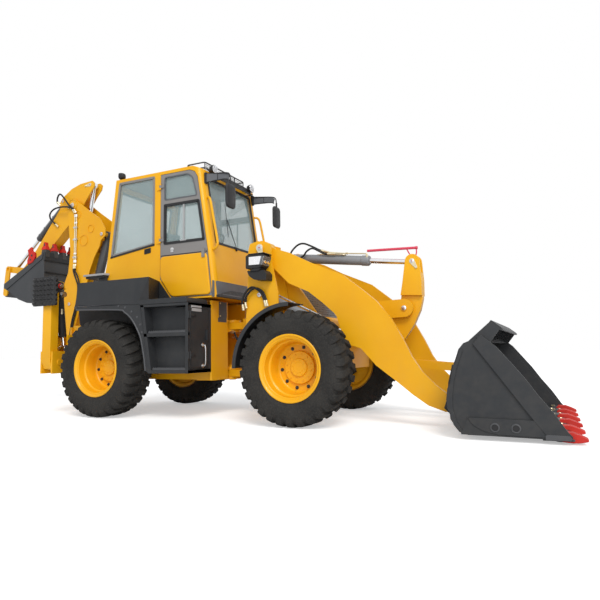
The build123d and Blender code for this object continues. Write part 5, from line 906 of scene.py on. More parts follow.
front_panel = Shape()
for z_low, z_high, reach, out in ((1404, 1596, 560, 4), (1404, 1440, 540, 40)):
    rings = []
    for y in (-reach - 30, -reach, reach, reach + 30):
        drop = 16 if abs(y) > reach else 0
        rings.append([
            (front_x(z_low) - 12, y, z_low), (front_x(z_low) + out - drop, y, z_low),
            (front_x(z_high) + out - drop, y, z_high), (front_x(z_high) - 12, y, z_high),
        ])
    front_panel.rings(rings)
front_panel.make("cab_front_skirt", "rear_frame", grey_plastic, 4)
# Painted shadow: a black strip over the lower cab front, just proud of the grey skirt, stands for the
# shadow under the cab.
painted_shadow_strip = Shape()
PAINTED_SHADOW_OUTLINE = [(-616, 1398), (-616, 1424), (-306, 1500), (306, 1500), (616, 1424), (616, 1398)]
painted_shadow_strip.prism(
    [(front_x(z) - 4, y, z) for y, z in PAINTED_SHADOW_OUTLINE],
    [(front_x(z) + (44 if z < 1445 else 10), y, z) for y, z in PAINTED_SHADOW_OUTLINE],
)
painted_shadow_strip.make("cab_front_painted_shadow", "rear_frame", black_plastic, 3)

corners = [(-514, 2056), (-514, 2904), (514, 2904), (514, 2056)]
screen = Shape().face_band(rounded(corners, 60), 30, front_x, -8, 5)
screen.make("windscreen_seal", "rear_frame", black_plastic, 2)
wiper_arm = ((-60, 2062, 12), (-150, 2300, 16), (-190, 2420, 10))
wiper = Shape().tube([(front_x(z) + out, y, z) for y, z, out in wiper_arm], 5)
wiper.slab([(-1232, 2200), (-1236, 2200), (-1290, 2640), (-1286, 2640)], -196, -186)
disc_at = Vector((front_x(2050) + 2, -60, 2052))
wiper.rod(disc_at, disc_at + Vector((22, 0, 4)), 20, 14)
wiper.make("wiper", "rear_frame", black_plastic, 1)


def rear_x(z):
    """The cab's rear face at a height."""
    return -2825 + (z - 1985) * 130 / 1043 if z > 1985 else -2825 - (1985 - z) * 45 / 220


corners = [(-534, 1896), (-534, 2904), (534, 2904), (534, 1896)]
rear = Shape().face_band(rounded(corners, 60), 30, rear_x, 8, -5)
rear.make("rear_window_seal", "rear_frame", black_plastic, 2)

# Roof: rack of tubes with a mesh floor, a mesh visor, two work lamps in front and two at the rear
rack = Shape()
loop = rounded([(-1672, -462), (-1672, 462), (-1400, 462), (-1400, -462)], 40)
for z in (3044, 3112):
    rack.tube([(x, y, z) for x, y in loop], 9, 10, 1, True)
for x in (-1666, -1406):
    for y in (-455, -230, 0, 230, 455):
        rack.rod((x, y, 3030), (x, y, 3112), 7, sides=12)
rack.make("roof_rack", "rear_frame", dark_grey_paint)
mesh = Shape()
for index in range(31):
    y = -450 + 30 * index
    mesh.rod((-1664, y, 3046), (-1406, y, 3046), 2.4, sides=5)
    mesh.rod((-1404, y, 3044), (-1404, y, 3110), 2.4, sides=5)
    mesh.rod((-1668, y, 3044), (-1668, y, 3110), 2.4, sides=5)
for index in range(9):
    x = -1660 + 31 * index
    mesh.rod((x, -455, 3050), (x, 455, 3050), 2.4, sides=5)
for z in (3066, 3088):
    for x in (-1404, -1668):
        mesh.rod((x, -455, z), (x, 455, z), 2.4, sides=5)
mesh.make("roof_mesh", "rear_frame", dark_grey_paint)
visor = Shape()
for index in range(63):
    y = -465 + 15 * index
    visor.rod((-1366, y, 3020), (-1262, y, 2906), 2.6, sides=4)
for index in range(10):
    x, z = -1364 + 11 * index, 3018 - 12 * index
    visor.rod((x, -470, z), (x, 470, z), 2.6, sides=4)
for y in (-470, 470):
    visor.tube([(-1370, y, 3026), (-1258, y, 2902)], 7)
for x, z in ((-1370, 3026), (-1258, 2902)):
    visor.tube([(x, -470, z), (x, 470, z)], 7)
for y in (-440, 0, 440):
    visor.rod((-1340, y, 2990), (-1262, y, 2910), 6, sides=8)
    visor.rod((front_x(2905) - 4, y, 2905), (-1262, y, 2905), 6, sides=8)
visor.make("roof_visor", "rear_frame", black_plastic)
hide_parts("roof_lamps")


def round_lamp(name, x, y, z, turn, width, tall, deep):
    """A work lamp with a rounded housing, a reflector and a lens, looking along turn degrees from +X."""
    out = Vector((cos(radians(turn)), sin(radians(turn)), 0))
    cross = Vector((-out.y, out.x, 0))
    centre = Vector((x, y, z))

    def oval(share, along):
        ring = []
        for i in range(28):
            a = 2 * pi * i / 28
            c, s = cos(a), sin(a)
            reach = (abs(c) ** 3 + abs(s) ** 3) ** (-1 / 3)
            across, high = c * reach * width / 2 * share, s * reach * tall / 2 * share
            ring.append(centre + out * along + cross * across + Vector((0, 0, high)))
        return ring

    body, shine, lens = Shape(), Shape(), Shape()
    body.rings(
        [oval(0.45, -deep), oval(0.8, -deep * 0.8), oval(0.97, -deep * 0.3), oval(1.0, 0), oval(0.9, 3)],
    )
    shine.rings([oval(0.9, 2.5), oval(0.88, 5)])
    lens.rings([oval(0.9, 5), oval(0.88, 9), oval(0.7, 13), oval(0.3, 15)])
    body.rod(
        centre - out * deep * 0.5 - Vector((0, 0, tall * 0.75)), centre - out * deep * 0.5, 8, sides=16,
    )
    body.make(f"{name}_housing", "rear_frame", black_plastic, 1)
    shine.make(f"{name}_reflector", "rear_frame", reflector)
    lens.make(f"{name}_lens", "rear_frame", lens_glass)


for place, side in SIDES:
    round_lamp(f"work_lamp_{place}", -1262, side * 445, 3000, 0, 118, 104, 66)
    bracket = Shape(side).bars(*[
        (x, y - 22, y + 22, z, z + 12)
        for x, y, z in ((-1372, 545, 2950), (-1340, 530, 2936), (-1290, 470, 2920), (-1258, 452, 2926))
    ])
    bracket.make(f"work_lamp_bracket_{place}", "rear_frame", yellow_paint, 2)
    round_lamp(f"rear_lamp_{place}", -2676, side * 560, 3096, 180, 96, 92, 62)
    foot = Shape(side).box(-2670, -2620, 540, 580, 3028, 3040)
    foot.rod((-2644, 560, 3036), (-2644, 560, 3066), 9, sides=16)
    foot.make(f"rear_lamp_foot_{place}", "rear_frame", black_plastic, 1)

# Mirrors on flat arms of two bars with a web between them
for place, side in SIDES:
    arm, web, head = Shape(side), Shape(side), Shape(side)
    top = [
        (-1318, 556, 2916), (-1180, 566, 2900), (-1010, 578, 2878), (-962, 582, 2846), (-952, 582, 2780),
    ]
    low = [(-1318, 556, 2812), (-1180, 566, 2812), (-1040, 576, 2806), (-985, 580, 2790)]
    arm.tube(top, 8, 10)
    arm.tube(low, 8, 10)
    arm.box(-1330, -1300, 536, 576, 2796, 2932)
    arm.rod((-1140, 569, 2810), (-1140, 569, 2893), 6, sides=10)
    web.slab(
        [(-1312, 2912), (-1180, 2897), (-1010, 2874), (-966, 2846), (-985, 2794), (-1040, 2808),
         (-1312, 2814)],
        566, 570,
    )
    outline = rounded([(-95, 2436), (-95, 2736), (95, 2736), (95, 2436)], 56, 7)
    rings = []
    for share, x in ((0.82, -16), (0.97, -10), (1.0, 4), (0.93, 18), (0.7, 26)):
        rings.append([(-955 + x, 580 + y * share, 2586 + (z - 2586) * share) for y, z in outline])
    head.rings(rings)
    head.rod((-950, 581, 2720), (-951, 582, 2790), 12, sides=20)
    glass_face = Shape(side).prism(*[
        [(x, 580 + y * 0.8, 2586 + (z - 2586) * 0.84) for y, z in outline] for x in (-972.5, -970)
    ])
    arm.make(f"mirror_arm_{place}", "rear_frame", black_plastic, 1)
    web.make(f"mirror_web_{place}", "rear_frame", grey_plastic)
    piece = head.make(f"mirror_head_{place}", "rear_frame", black_plastic, 3)
    glass_face.make(f"mirror_glass_{place}", "rear_frame", reflector)
    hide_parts("mirrors")

# Seat: crowned cushions on a base, with arm rests, and the steering wheel, column and levers


def cushion(name, middle, size, crown, turn, groove):
    """A crowned pad with pulled-in sides and sewn channels across it."""
    rows, columns = 44, 36
    shape = Shape()
    lean = Matrix.Rotation(radians(turn), 4, "Y")
    faces = []
    for face in (1, -1):
        grid = []
        for i in range(rows + 1):
            u = -1 + 2 * i / rows
            line = []
            for k in range(columns + 1):
                v = -1 + 2 * k / columns
                edge = (1 - abs(u) ** 5) * (1 - abs(v) ** 5)
                waist = 1 - 0.05 * (1 - u * u) * abs(v) ** 3 - 0.05 * (1 - v * v) * abs(u) ** 3
                rise = (0.30 + 0.20 * max(0.0, edge) ** 0.5) * size[2]
                if face > 0:
                    rise += crown * max(0.0, (1 - u * u) * (1 - v * v)) ** 0.5
                    for spot in groove:
                        rise -= 12 * max(0.0, 1 - abs(u - spot) * 16) * max(0.0, edge)
                else:
                    rise = 0.5 * size[2] * (0.62 + 0.38 * max(0.0, edge) ** 0.4)
                square = Vector((u * size[0] / 2 * waist, v * size[1] / 2 * waist, face * rise))
                line.append(shape.vert(Vector(middle) + lean @ square))
            grid.append(line)
        faces.append(grid)
        for i in range(rows):
            for k in range(columns):
                shape.mesh.faces.new((grid[i][k], grid[i + 1][k], grid[i + 1][k + 1], grid[i][k + 1]))
    rim_top, rim_low = (
        [*grid[0], *[r[-1] for r in grid[1:]], *grid[-1][-2::-1], *[r[0] for r in grid[-2:0:-1]]]
        for grid in faces
    )
    for i in range(len(rim_top)):
        j = (i + 1) % len(rim_top)
        shape.mesh.faces.new((rim_top[i], rim_top[j], rim_low[j], rim_low[i]))
    piece = shape.make(name, "rear_frame", black_fabric, 0, 60)


cushion("seat_cushion", (-2095, 0, 1770), (440, 470, 96), 22, 0, (-0.45, 0.25))
cushion("seat_back", (-2338, 0, 2130), (560, 450, 92), 16, 90, (-0.5, 0.0, 0.5))
base = Shape().plan(rounded([(-2300, -200), (-2300, 200), (-1920, 200), (-1920, -200)], 40), 1690, 1724)
for step in range(5):
    reach = 150 + 12 * (step % 2)
    low, rear, front = 1560 + 26 * step, -2110 - reach, -2110 + reach
    square = [(rear, -reach), (rear, reach), (front, reach), (front, -reach)]
    base.plan(rounded(square, 40), low, low + 26)
base.plan(rounded([(-2280, -150), (-2280, 150), (-1940, 150), (-1940, -150)], 20), 1440.6, 1560)
for side in (-1, 1):
    base.tube([(-2330, side * 262, 1960), (-2240, side * 268, 1985), (-2060, side * 268, 1985)], 24, 16)
piece = base.make("seat_base", "rear_frame", black_plastic, 3)
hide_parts("seat")

wheel_axis = Vector((-170, 0, 220)).normalized()
wheel_middle = Vector((-1614, 0, 2176)) + wheel_axis * 11
wheel = Shape()
one = Vector((0, 1, 0))
two = wheel_axis.cross(one)
turns = [2 * pi * i / 24 for i in range(24)]
wheel.tube([wheel_middle + (one * cos(a) + two * sin(a)) * 186 for a in turns], 14, 14, 3, True)
for angle in (90, 210, 330):
    out = one * cos(radians(angle)) + two * sin(radians(angle))
    wheel.rod(wheel_middle + out * 30, wheel_middle + out * 182, 11, 8, 16)
wheel.lathe([(-14, 0.01), (-14, 44), (10, 40), (16, 24), (17, 0.01)], wheel_middle, wheel_axis, 40)
knob = wheel_middle + one * -150 + two * 100
wheel.lathe([(10, 0.01), (10, 13), (40, 16), (52, 12), (55, 0.01)], knob, wheel_axis, 24)
column = Shape().rod((-1440, 0, 1950), (-1608, 0, 2168), 30, 24)
column.tiers(*[
    (x - w, x + w, -y, y, z) for x, y, z, w in (
        (-1400, 150, 1440.6, 95), (-1400, 165, 1800, 105), (-1395, 180, 1960, 110),
        (-1385, 170, 1985, 98),
    )
])
column.slab(rounded([(-1500, 2010), (-1480, 2040), (-1330, 1990), (-1330, 1970)], 12), -165, 165)
column.make("steering_column", "rear_frame", black_plastic, 6)
piece = wheel.make("steering_wheel", "rear_frame", black_plastic)
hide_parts("steering_console")
levers = Shape()
for x, y, z in (
    (-1470, -250, 1900), (-1470, -290, 1900), (-2560, -110, 1980), (-2560, 110, 1980), (-2500, 0, 1960),
):
    levers.rod((x, y, 1442), (x, y, 1560), 22, 16, 20)
    levers.tube([(x, y, 1550), (x - 6, y, 1700), (x, y, z)], 7, 12)
    levers.lathe([(-26, 0.01), (-24, 12), (0, 20), (18, 17), (26, 0.01)], (x, y, z), (0, 0, 1), 24)
levers.make("levers", "rear_frame", black_plastic)
dash = Shape().plan(rounded([(-1300, -500), (-1300, 500), (-1215, 500), (-1215, -500)], 20), 1960, 2052)
dash.make("dashboard", "rear_frame", black_plastic, 12, segments=3)
lining = Shape().plan(
    rounded([(-2650, -560), (-2650, 560), (-1440, 560), (-1440, -560)], 40), 2950, 2972,
)
lining.make("roof_lining", "rear_frame", pale_grey, 8)

# Head lamps in their shaped housings on the arm towers

LAMP_SIDE = (
    (-640, 1668), (-640, 1812), (-600, 1829), (-424, 1822), (-402, 1797), (-440, 1690), (-470, 1668),
)
for place, side in SIDES:
    housing, lens, shine, foot = Shape(side), Shape(side), Shape(side), Shape(side)
    housing.slab(rounded(LAMP_SIDE, 14), 606, 770)
    housing.slab([(-600, 1822), (-600, 1832), (-398, 1832), (-394, 1822)], 604, 782)
    piece = housing.make(f"head_lamp_housing_{place}", "front_frame", black_plastic, 5)
    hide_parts("front_lamps")
    for y in (650, 722):
        shine.rod((-438, y, 1745), (-424, y, 1750), 32, 36)
        shine.rod((-424, y, 1750), (-418, y, 1752), 12, 10)
    shine.slab([(-596, 1706), (-596, 1796), (-440, 1796), (-466, 1706)], 618, 774)
    shine.make(f"head_lamp_reflectors_{place}", "front_frame", reflector, 1)
    lens.slab([(-436, 1700), (-410, 1795), (-402, 1794), (-429, 1699)], 618, 774)
    lens.slab([(-520, 1702), (-526, 1795), (-404, 1795), (-430, 1702)], 770, 779)
    lens.make(f"head_lamp_lens_{place}", "front_frame", lens_glass, 2)
    foot.slab([(-600, 1640), (-560, 1668), (-450, 1668), (-480, 1640)], 622, 760)
    foot.slab(
        rounded(
            [(-640, 1648), (-612, 1590), (-548, 1545), (-398, 1532), (-394, 1606), (-430, 1648)], 12,
        ),
        601, 742,
    )
    for x in (-570, -500):
        foot.hexagon((x, 690, 1640), (x, 690, 1630), 11)
    foot.make(f"head_lamp_foot_{place}", "front_frame", black_plastic, 3)

# Loader bucket: cutting edge, side cutters, wear strips, red teeth in their holders and bolt heads

for place, side in SIDES:
    cutter, wear, heads, hole_shade_discs = Shape(side), Shape(side), Shape(side), Shape(side)
    cutter.slab(
        [(1835, 872), (1952, 772), (2045, 658), (2152, 524), (2243, 390), (2352, 248), (2440, 110),
         (2478, 66), (2470, 36), (2316, 36), (2199, 191), (1768, 797)],
        1096, 1120,
    )
    cutter.make(f"bucket_side_cutter_{place}", "loader_bucket", charcoal_paint, 3)
    lobes = [
        (1662, 760), (1618, 640), (1596, 600), (1568, 468), (1544, 420), (1532, 330), (1536, 268),
        (1556, 226), (1560, 168), (1592, 118), (1644, 56), (1668, 48), (1612, 150), (1584, 250),
        (1582, 330), (1596, 452), (1630, 596), (1684, 740),
    ]
    wear.slab(lobes, 1096, 1110)
    wear.slab(
        [(1700, 188), (1722, 150), (1756, 118), (1806, 90), (1868, 70), (1940, 58), (2300, 52),
         (2214, 182)],
        1104, 1117,
    )
    wear.make(f"bucket_edge_plates_{place}", "loader_bucket", charcoal_paint, 3)
    for x in (1913, 2073):
        heads.lathe(
            [(1112, 26), (1124, 27), (1124, 34), (1116, 39), (1112, 39)], (x, 0, 113.5), (0, 1, 0), 40,
        )
        # Painted shade: a black disc sunk in each boss ring stands for the dark of its hole.
        hole_shade_discs.rod((x, 1112, 113.5), (x, 1118.5, 113.5), 26.5)
    heads.slab([(2284, 36), (2284, 70), (2300, 77), (2456, 76), (2474, 52), (2462, 36)], 1098, 1123)
    heads.make(
        f"bucket_side_bosses_{place}", "loader_bucket", dark_grey_paint, 1.5, slot="charcoal_paint",
    )
    hole_shade_discs.make(f"bucket_boss_hole_shade_{place}", "loader_bucket", black_plastic, 1, slot="charcoal_paint")
edge = Shape().slab(
    [(2262, 60), (2266, 68), (2440, 64), (2492, 44), (2488, 30), (2262, 28)], -1098, 1098,
)
for index in range(5):
    middle = -824 + 412 * index
    edge.box(1760, 2262, middle - 40, middle + 40, 30, 43)
edge.make("bucket_cutting_edge", "loader_bucket", dark_grey_paint, 2, slot="charcoal_paint")
holders, caps, edge_bolts = Shape(), Shape(), Shape()
for index in range(6):
    middle = -1030 + 412 * index
    low, high = middle - 42, middle + 42
    holders.slab(
        [(2330, 66), (2380, 92), (2462, 88), (2520, 60), (2500, 24), (2380, 18), (2330, 28)], low, high,
    )
    stations = (
        (2384, 7, 62, 78), (2404, 7, 20, 94), (2478, 6, 14, 95), (2530, 5.5, 17, 76), (2586, 5, 30, 50),
    )
    caps.bars(*[(x, low - out, high + out, z_low, z_high) for x, out, z_low, z_high in stations])
    for x in (2338, 2358):
        edge_bolts.hexagon((x, middle, 80), (x, middle, 96), 11)
    if index < 5:
        for offset in (120, 206, 292):
            edge_bolts.rod((2330, middle + offset, 62), (2330, middle + offset, 74), 18, 13, 20)
            edge_bolts.rod((2410, middle + offset, 60), (2410, middle + offset, 72), 18, 13, 20)
holders.make("bucket_tooth_holders", "loader_bucket", dark_grey_paint, 4, slot="charcoal_paint")
caps.make("bucket_teeth", "loader_bucket", red_paint, 4)
edge_bolts.make("bucket_edge_bolts", "loader_bucket", zinc, 1, slot="charcoal_paint")
ribs = Shape()
for y in (-900, -720, -300, 300, 720, 900):
    ribs.slab(
        [(1700, 30), (1628, 46), (1580, 110), (1545, 215), (1538, 330), (1550, 460), (1584, 610),
         (1560, 620), (1520, 460), (1508, 330), (1514, 210), (1552, 92), (1600, 32), (1640, 30)],
        y - 9, y + 9,
    )
for y in (-1, 1):
    ribs.slab([(1640, 720), (1690, 796), (1660, 800), (1600, 700)], y * 60, y * 84)
ribs.make("bucket_back_ribs", "loader_bucket", charcoal_paint, 3)
guard = Shape().slab([(1902, 972), (1918, 994), (1998, 930), (1988, 906)], -1078, 1078)
guard.tube([(1996, -1078, 914), (1996, 1078, 914)], 12, 12)
for y in (-760, -380, 0, 380, 760):
    guard.slab(
        [(1760, 836), (1900, 966), (1912, 952), (1980, 898), (1900, 870), (1790, 832)], y - 7, y + 7,
    )
guard.make("bucket_spill_guard_lip", "loader_bucket", charcoal_paint, 3)

# Step boxes with a raking rear edge, two deep foot wells and toothed treads

BOX_REAR_TOP, BOX_REAR_LOW = -1925, -1800
BOX_FRONT, BOX_TOP, BOX_LOW = -1241, 1317, 531
TREAD_TEETH = 17


def box_rear(z, offset=0):
    """The step boxes' raking rear edge at a height."""
    return BOX_REAR_LOW + (BOX_REAR_TOP - BOX_REAR_LOW) * (z - BOX_LOW) / (BOX_TOP - BOX_LOW) + offset


for place, side in SIDES:
    shell, treads, lip = Shape(), Shape(side), Shape(side)

    def part(x_low, x_high, y_a, y_b, z_low, z_high, raked=False):
        """A wall between two distances from the middle; a raked one starts at the rear edge."""
        if raked:
            outline = [
                (box_rear(z_low, x_low), z_low), (box_rear(z_high, x_low), z_high),
                (x_high, z_high), (x_high, z_low),
            ]
        else:
            outline = [(x_low, z_low), (x_low, z_high), (x_high, z_high), (x_high, z_low)]
        shell.slab(outline, *sorted((side * y_a, side * y_b)))

    part(0, BOX_FRONT if side > 0 else -1512, 562, 866, BOX_LOW, BOX_TOP, True)
    if side < 0:
        part(-1512, BOX_FRONT, 562, 590, BOX_LOW, BOX_TOP)
        part(-1512, BOX_FRONT, 855, 866, BOX_LOW, BOX_TOP)
        part(-1512, BOX_FRONT, 562, 866, BOX_LOW, 572)
        part(-1512, BOX_FRONT, 562, 866, 1275, BOX_TOP)
        part(-1282, BOX_FRONT, 970, 998, BOX_LOW, BOX_TOP)
        part(-1282, BOX_FRONT, 562, 998, BOX_LOW, 570)
        part(-1282, BOX_FRONT, 562, 998, 1278, BOX_TOP)
        for hinge_z in (730, 1180):
            part(-1242, -1230, 981, 1000, hinge_z - 40, hinge_z + 40)
            for z_low in (hinge_z - 40, hinge_z + 18.3):
                part(-1242, -1226, 972, 984, z_low, z_low + 21.7)
                shell.rod((-1230, -972, z_low), (-1230, -972, z_low + 21.7), 9, sides=24)
    part(0, BOX_FRONT, 864, 998, 1288, BOX_TOP, True)
    part(0, BOX_FRONT, 864, 998, 945, 985, True)
    part(0, BOX_FRONT, 864, 998, BOX_LOW, 566, True)
    part(-1282, BOX_FRONT - (0 if side > 0 else 24), 864, 998, BOX_LOW, BOX_TOP)
    rear = [
        (box_rear(BOX_LOW), BOX_LOW), (box_rear(BOX_TOP), BOX_TOP),
        (box_rear(BOX_TOP, 46), BOX_TOP), (box_rear(BOX_LOW, 46), BOX_LOW),
    ]
    shell.slab(rear, *sorted((side * 864, side * 998)))
    piece = shell.make(f"step_box_{place}", "rear_frame", charcoal_paint, 5)
    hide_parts("step_boxes")
    for floor_z in (566, 985):
        for row in range(4):
            y = 886 + 30 * row
            treads.box(box_rear(floor_z, 56), -1292, y, y + 5, floor_z + 1, floor_z + 22)
            first = box_rear(floor_z, 70)
            for index in range(TREAD_TEETH):
                x = first + (-1306 - first) * index / (TREAD_TEETH - 1)
                treads.slab(
                    [(x - 9, floor_z + 21), (x, floor_z + 32), (x + 9, floor_z + 21)],
                    y, y + 5,
                )
    treads.make(f"step_treads_{place}", "rear_frame", dark_grey_paint)
    lip.slab(
        [(-1978, 1334), (-1960, 1378), (-1284, 1378), (-1262, 1340), (-1262, 1319), (-1925, 1319)],
        600, 1001,
    )
    for x in (-1880, -1600, -1320):
        lip.hexagon((x, 960, 1377), (x, 960, 1386), 13)
    lip.make(f"step_box_top_{place}", "rear_frame", charcoal_paint, 8)

# Tool box door: bare pale label plate, lift handle, latch and long hinge leaves

BOX_DOOR_FACE = -1240.4
label, handle, leaf = Shape(), Shape(), Shape()
label.box(BOX_DOOR_FACE, -1238, -948, -754, 1221, 1287)
label.make("box_door_plate", "box_door", pale_grey, 0.5)
grip = ((-1240, 606), (-1206, 622), (-1200, 724), (-1206, 826), (-1240, 842))
handle.tube([(x, -728, z) for x, z in grip], 9)
for z in (606, 842):
    handle.rod((-1241, -728, z), (-1234, -728, z), 24, 22, 24)
handle.make("box_door_handle", "box_door", steel)
for z in (1180, 730):
    leaf.box(-1240.4, -1234, -960, -860, z - 16, z + 16)
    for y in (-940, -880):
        leaf.rod((-1235, y, z), (-1229, y, z), 9, 7, 16)
leaf.rod((-1216, -658, 992), (-1211, -658, 992), 10, 9, 20)
corners = [(-952, 583), (-608, 583), (-608, 1266), (-952, 1266)]
leaf.face_band(rounded(corners, 30), 9, lambda z: BOX_DOOR_FACE, 0, 3.9)
leaf.make("box_door_fittings", "box_door", black_plastic, 1)

# Rear fenders: the arch plate with its rolled lip, and the dark well

ARCH = [
    (-2952, 1306), (-2270, 1277), (-2170, 1244), (-2090, 1190), (-2020, 1112), (-1962, 1020),
    (-1918, 930), (-1886, 800), (-1862, 680), (-1846, 560),
]
for place, side in SIDES:
    arch, lip, bolts, well, plate = Shape(side), Shape(side), Shape(side), Shape(side), Shape(side)
    arch.slab([(-2952, 1340), (-1932, 1336), (-1925, 1317), (-1800, 531), *ARCH[::-1]], 962, 994)
    arch.make(f"fender_arch_{place}", "rear_frame", charcoal_paint, 4)
    lip.tube([(x, 990, z) for x, z in ARCH], 11, 12, 4)
    lip.tube(
        [(x, 990, z) for x, z in ((-2956, 1306), (-2962, 1336), (-2934, 1346), (-2266, 1350))], 7, 10, 4,
    )
    lip.make(f"fender_lip_{place}", "rear_frame", dark_grey_paint)
    for x, z in (
        (-2262, 1322), (-2160, 1300), (-2060, 1246), (-1975, 1180), (-1925, 1090), (-1900, 1000),
    ):
        bolts.hexagon((x, 993, z), (x, 1000, z), 9)
        bolts.rod((x, 993, z), (x, 996, z), 14, 13, 24)
    bolts.make(f"fender_bolts_{place}", "rear_frame", dark_grey_paint, 0.8)
    well.slab(
        [(-3330, 1360), (-2960, 1344), (-1924, 1334), (-1864, 930), (-1930, 930), (-1990, 1000),
         (-2400, 1040), (-3180, 1080), (-3300, 1150)],
        606, 620,
    )
    well.make(f"fender_well_{place}", "rear_frame", black_plastic, 2)
    plate.slab([(-2107, 1640), (-1966, 1640), (-1820, 1457), (-1793, 1423), (-2120, 1423)], 618, 627)
    for x, z in ((-2060, 1600), (-1880, 1450)):
        plate.hexagon((x, 626, z), (x, 634, z), 10)
    plate.make(f"cab_corner_plate_{place}", "rear_frame", charcoal_paint, 2)

# Digging bucket: mouth rib, lip bar, red teeth on dark shanks and red side cutters

mouth, lip_bar, red, shanks = Shape(), Shape(), Shape(), Shape()
for place, side in SIDES:
    mouth.slab(
        [(-5326, 1800), (-5268, 1776), (-4486, 2196), (-4470, 2284), (-4700, 2172), (-5326, 1868)],
        side * 266, side * 282,
    )
    red.slab(
        [(-4792, 2130), (-4796, 2190), (-4766, 2262), (-4790, 2352), (-4716, 2396), (-4690, 2330),
         (-4632, 2300), (-4622, 2236), (-4664, 2176), (-4700, 2150)],
        side * 262, side * 294,
    )
    shanks.hexagon((-4724, side * 290, 2200), (-4724, side * 300, 2200), 17)
    shanks.hexagon((-4694, side * 290, 2262), (-4694, side * 300, 2262), 17)
mouth.make("digging_bucket_mouth_rib", "digging_bucket", digger_paint, 3)
lip_bar.slab([(-4470, 2170), (-4438, 2170), (-4430, 2210), (-4434, 2300), (-4470, 2300)], -276, 276)
lip_bar.box(-4448, -4426, -272, 272, 1990, 2010)
lip_bar.make("digging_bucket_lip", "digging_bucket", charcoal_paint, 4)
for index in range(4):
    middle = -230 + index * 460 / 3
    for shape, stations in (
        (shanks, ((-4520, -4424, 36, 2226), (-4522, -4424, 36, 2300), (-4514, -4434, 28, 2350))),
        (red, (
            (-4524, -4428, 38, 2336), (-4522, -4430, 38, 2356), (-4500, -4446, 27, 2400),
            (-4486, -4456, 30, 2452),
        )),
    ):
        shape.tiers(*[(a, b, middle - half, middle + half, z) for a, b, half, z in stations])
shanks.make("digging_bucket_shanks", "digging_bucket", dark_iron, 3, slot="charcoal_paint")
red.make("digging_bucket_teeth", "digging_bucket", red_paint, 4)

# Stabilizer pads: rows of grousers that bite when the leg is down

for place, side in SIDES:
    grousers = Shape(side)
    for row in range(6):
        z = 1412 + 60 * row
        for column in range(6):
            x = -3618 + 66 * column
            tall = 26 if column % 2 == 0 else 20
            grousers.prism(
                [(x - 24, 1068, z - 22), (x + 24, 1068, z - 22), (x + 24, 1068, z + 22),
                 (x - 24, 1068, z + 22)],
                [(x - 14, 1068 + tall, z - 5), (x + 8, 1068 + tall, z - 5),
                 (x + 8, 1068 + tall, z + 5), (x - 14, 1068 + tall, z + 5)],
            )
        for edge_x, run in ((-3640, -28), (-3240, 20)):
            grousers.prism(
                [(edge_x, 1040, z - 24), (edge_x, 1069, z - 24), (edge_x, 1069, z + 24),
                 (edge_x, 1040, z + 24)],
                [(edge_x + run, 1050, z - 4), (edge_x + run, 1066, z - 4),
                 (edge_x + run, 1066, z + 6), (edge_x + run, 1050, z + 6)],
            )
    grousers.make(
        f"pad_grousers_{place}", f"stabilizer_pad_{place}", black_plastic, 2, slot="charcoal_paint",
    )

# Grey plates with plated bolts on the rear frame's front wall, and rims on the front fenders

for place, side in SIDES:
    guard, studs, rim_edge = Shape(side), Shape(side), Shape(side)
    guard.across([(236, 1172), (236, 1366), (400, 1366), (400, 1172)], -1240, -1232)
    guard.across([(236, 1120), (236, 1172), (420, 1172), (420, 1120)], -1240, -1236)
    guard.make(f"hinge_guard_{place}", "rear_frame", dark_grey_paint, 2)
    for z in (1192, 1346):
        studs.hexagon((-1233, 384, z), (-1225, 384, z), 11)
    studs.make(f"hinge_guard_bolts_{place}", "rear_frame", zinc, 1, slot="dark_grey_paint")
    outer = arc(0, AXLE_Z, 665, 180, 89, -3)
    inner = arc(0, AXLE_Z, 624, 90, 181, 3)
    rim_edge.slab(outer + inner, 1010, 1021)
    rim_edge.make(f"front_fender_rim_{place}", "front_frame", charcoal_paint, 3, slot="black_plastic")

# Level indicator: a thicker bar on two struts above the tilt rod's eye

bar = Shape().tube([(520, 0, 1886), (780, 0, 1878), (1083, 0, 1868)], 15, 16, 2)
bar.rod((1076, 0, 1868), (1096, 0, 1868), 19, 17, 20)
bar.tube([(975, 0, 1866), (1008, 0, 1800), (1025, 0, 1786)], 7, 12, 3)
bar.tube([(1080, 0, 1868), (1083, 0, 1820), (1076, 0, 1790)], 7, 12, 3)
bar.tube([(1012, 0, 1792), (1045, 0, 1788), (1080, 0, 1792)], 7, 12, 3)
bar.rod((1045, 0, 1790), (1045, 0, 1758), 9, 12, 20)
piece = bar.make("level_indicator_bar", "tilt_rod", rose_paint)
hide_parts("level_indicator")

# Bell crank: cheeks that run down beside the rod's eye into the plate

top_arc = arc(1045, 1712, 80, 180, -1, -15)
for place, side in SIDES:
    cheek = Shape(side).slab(
        [*top_arc, (1141, 1499), (1139, 1332), (906, 1346), (934, 1500)], 47.5, 77.5,
    )
    cheek.slab([(934, 1500), (944, 1586), (1134, 1586), (1141, 1499), (1139, 1336), (908, 1350)], 37, 48)
    cheek.make(f"crank_cheek_{place}", "bell_crank", yellow_paint, 4)

# Stabilizer legs with the cylinder lying in an open channel, and the lugs that hold the pads

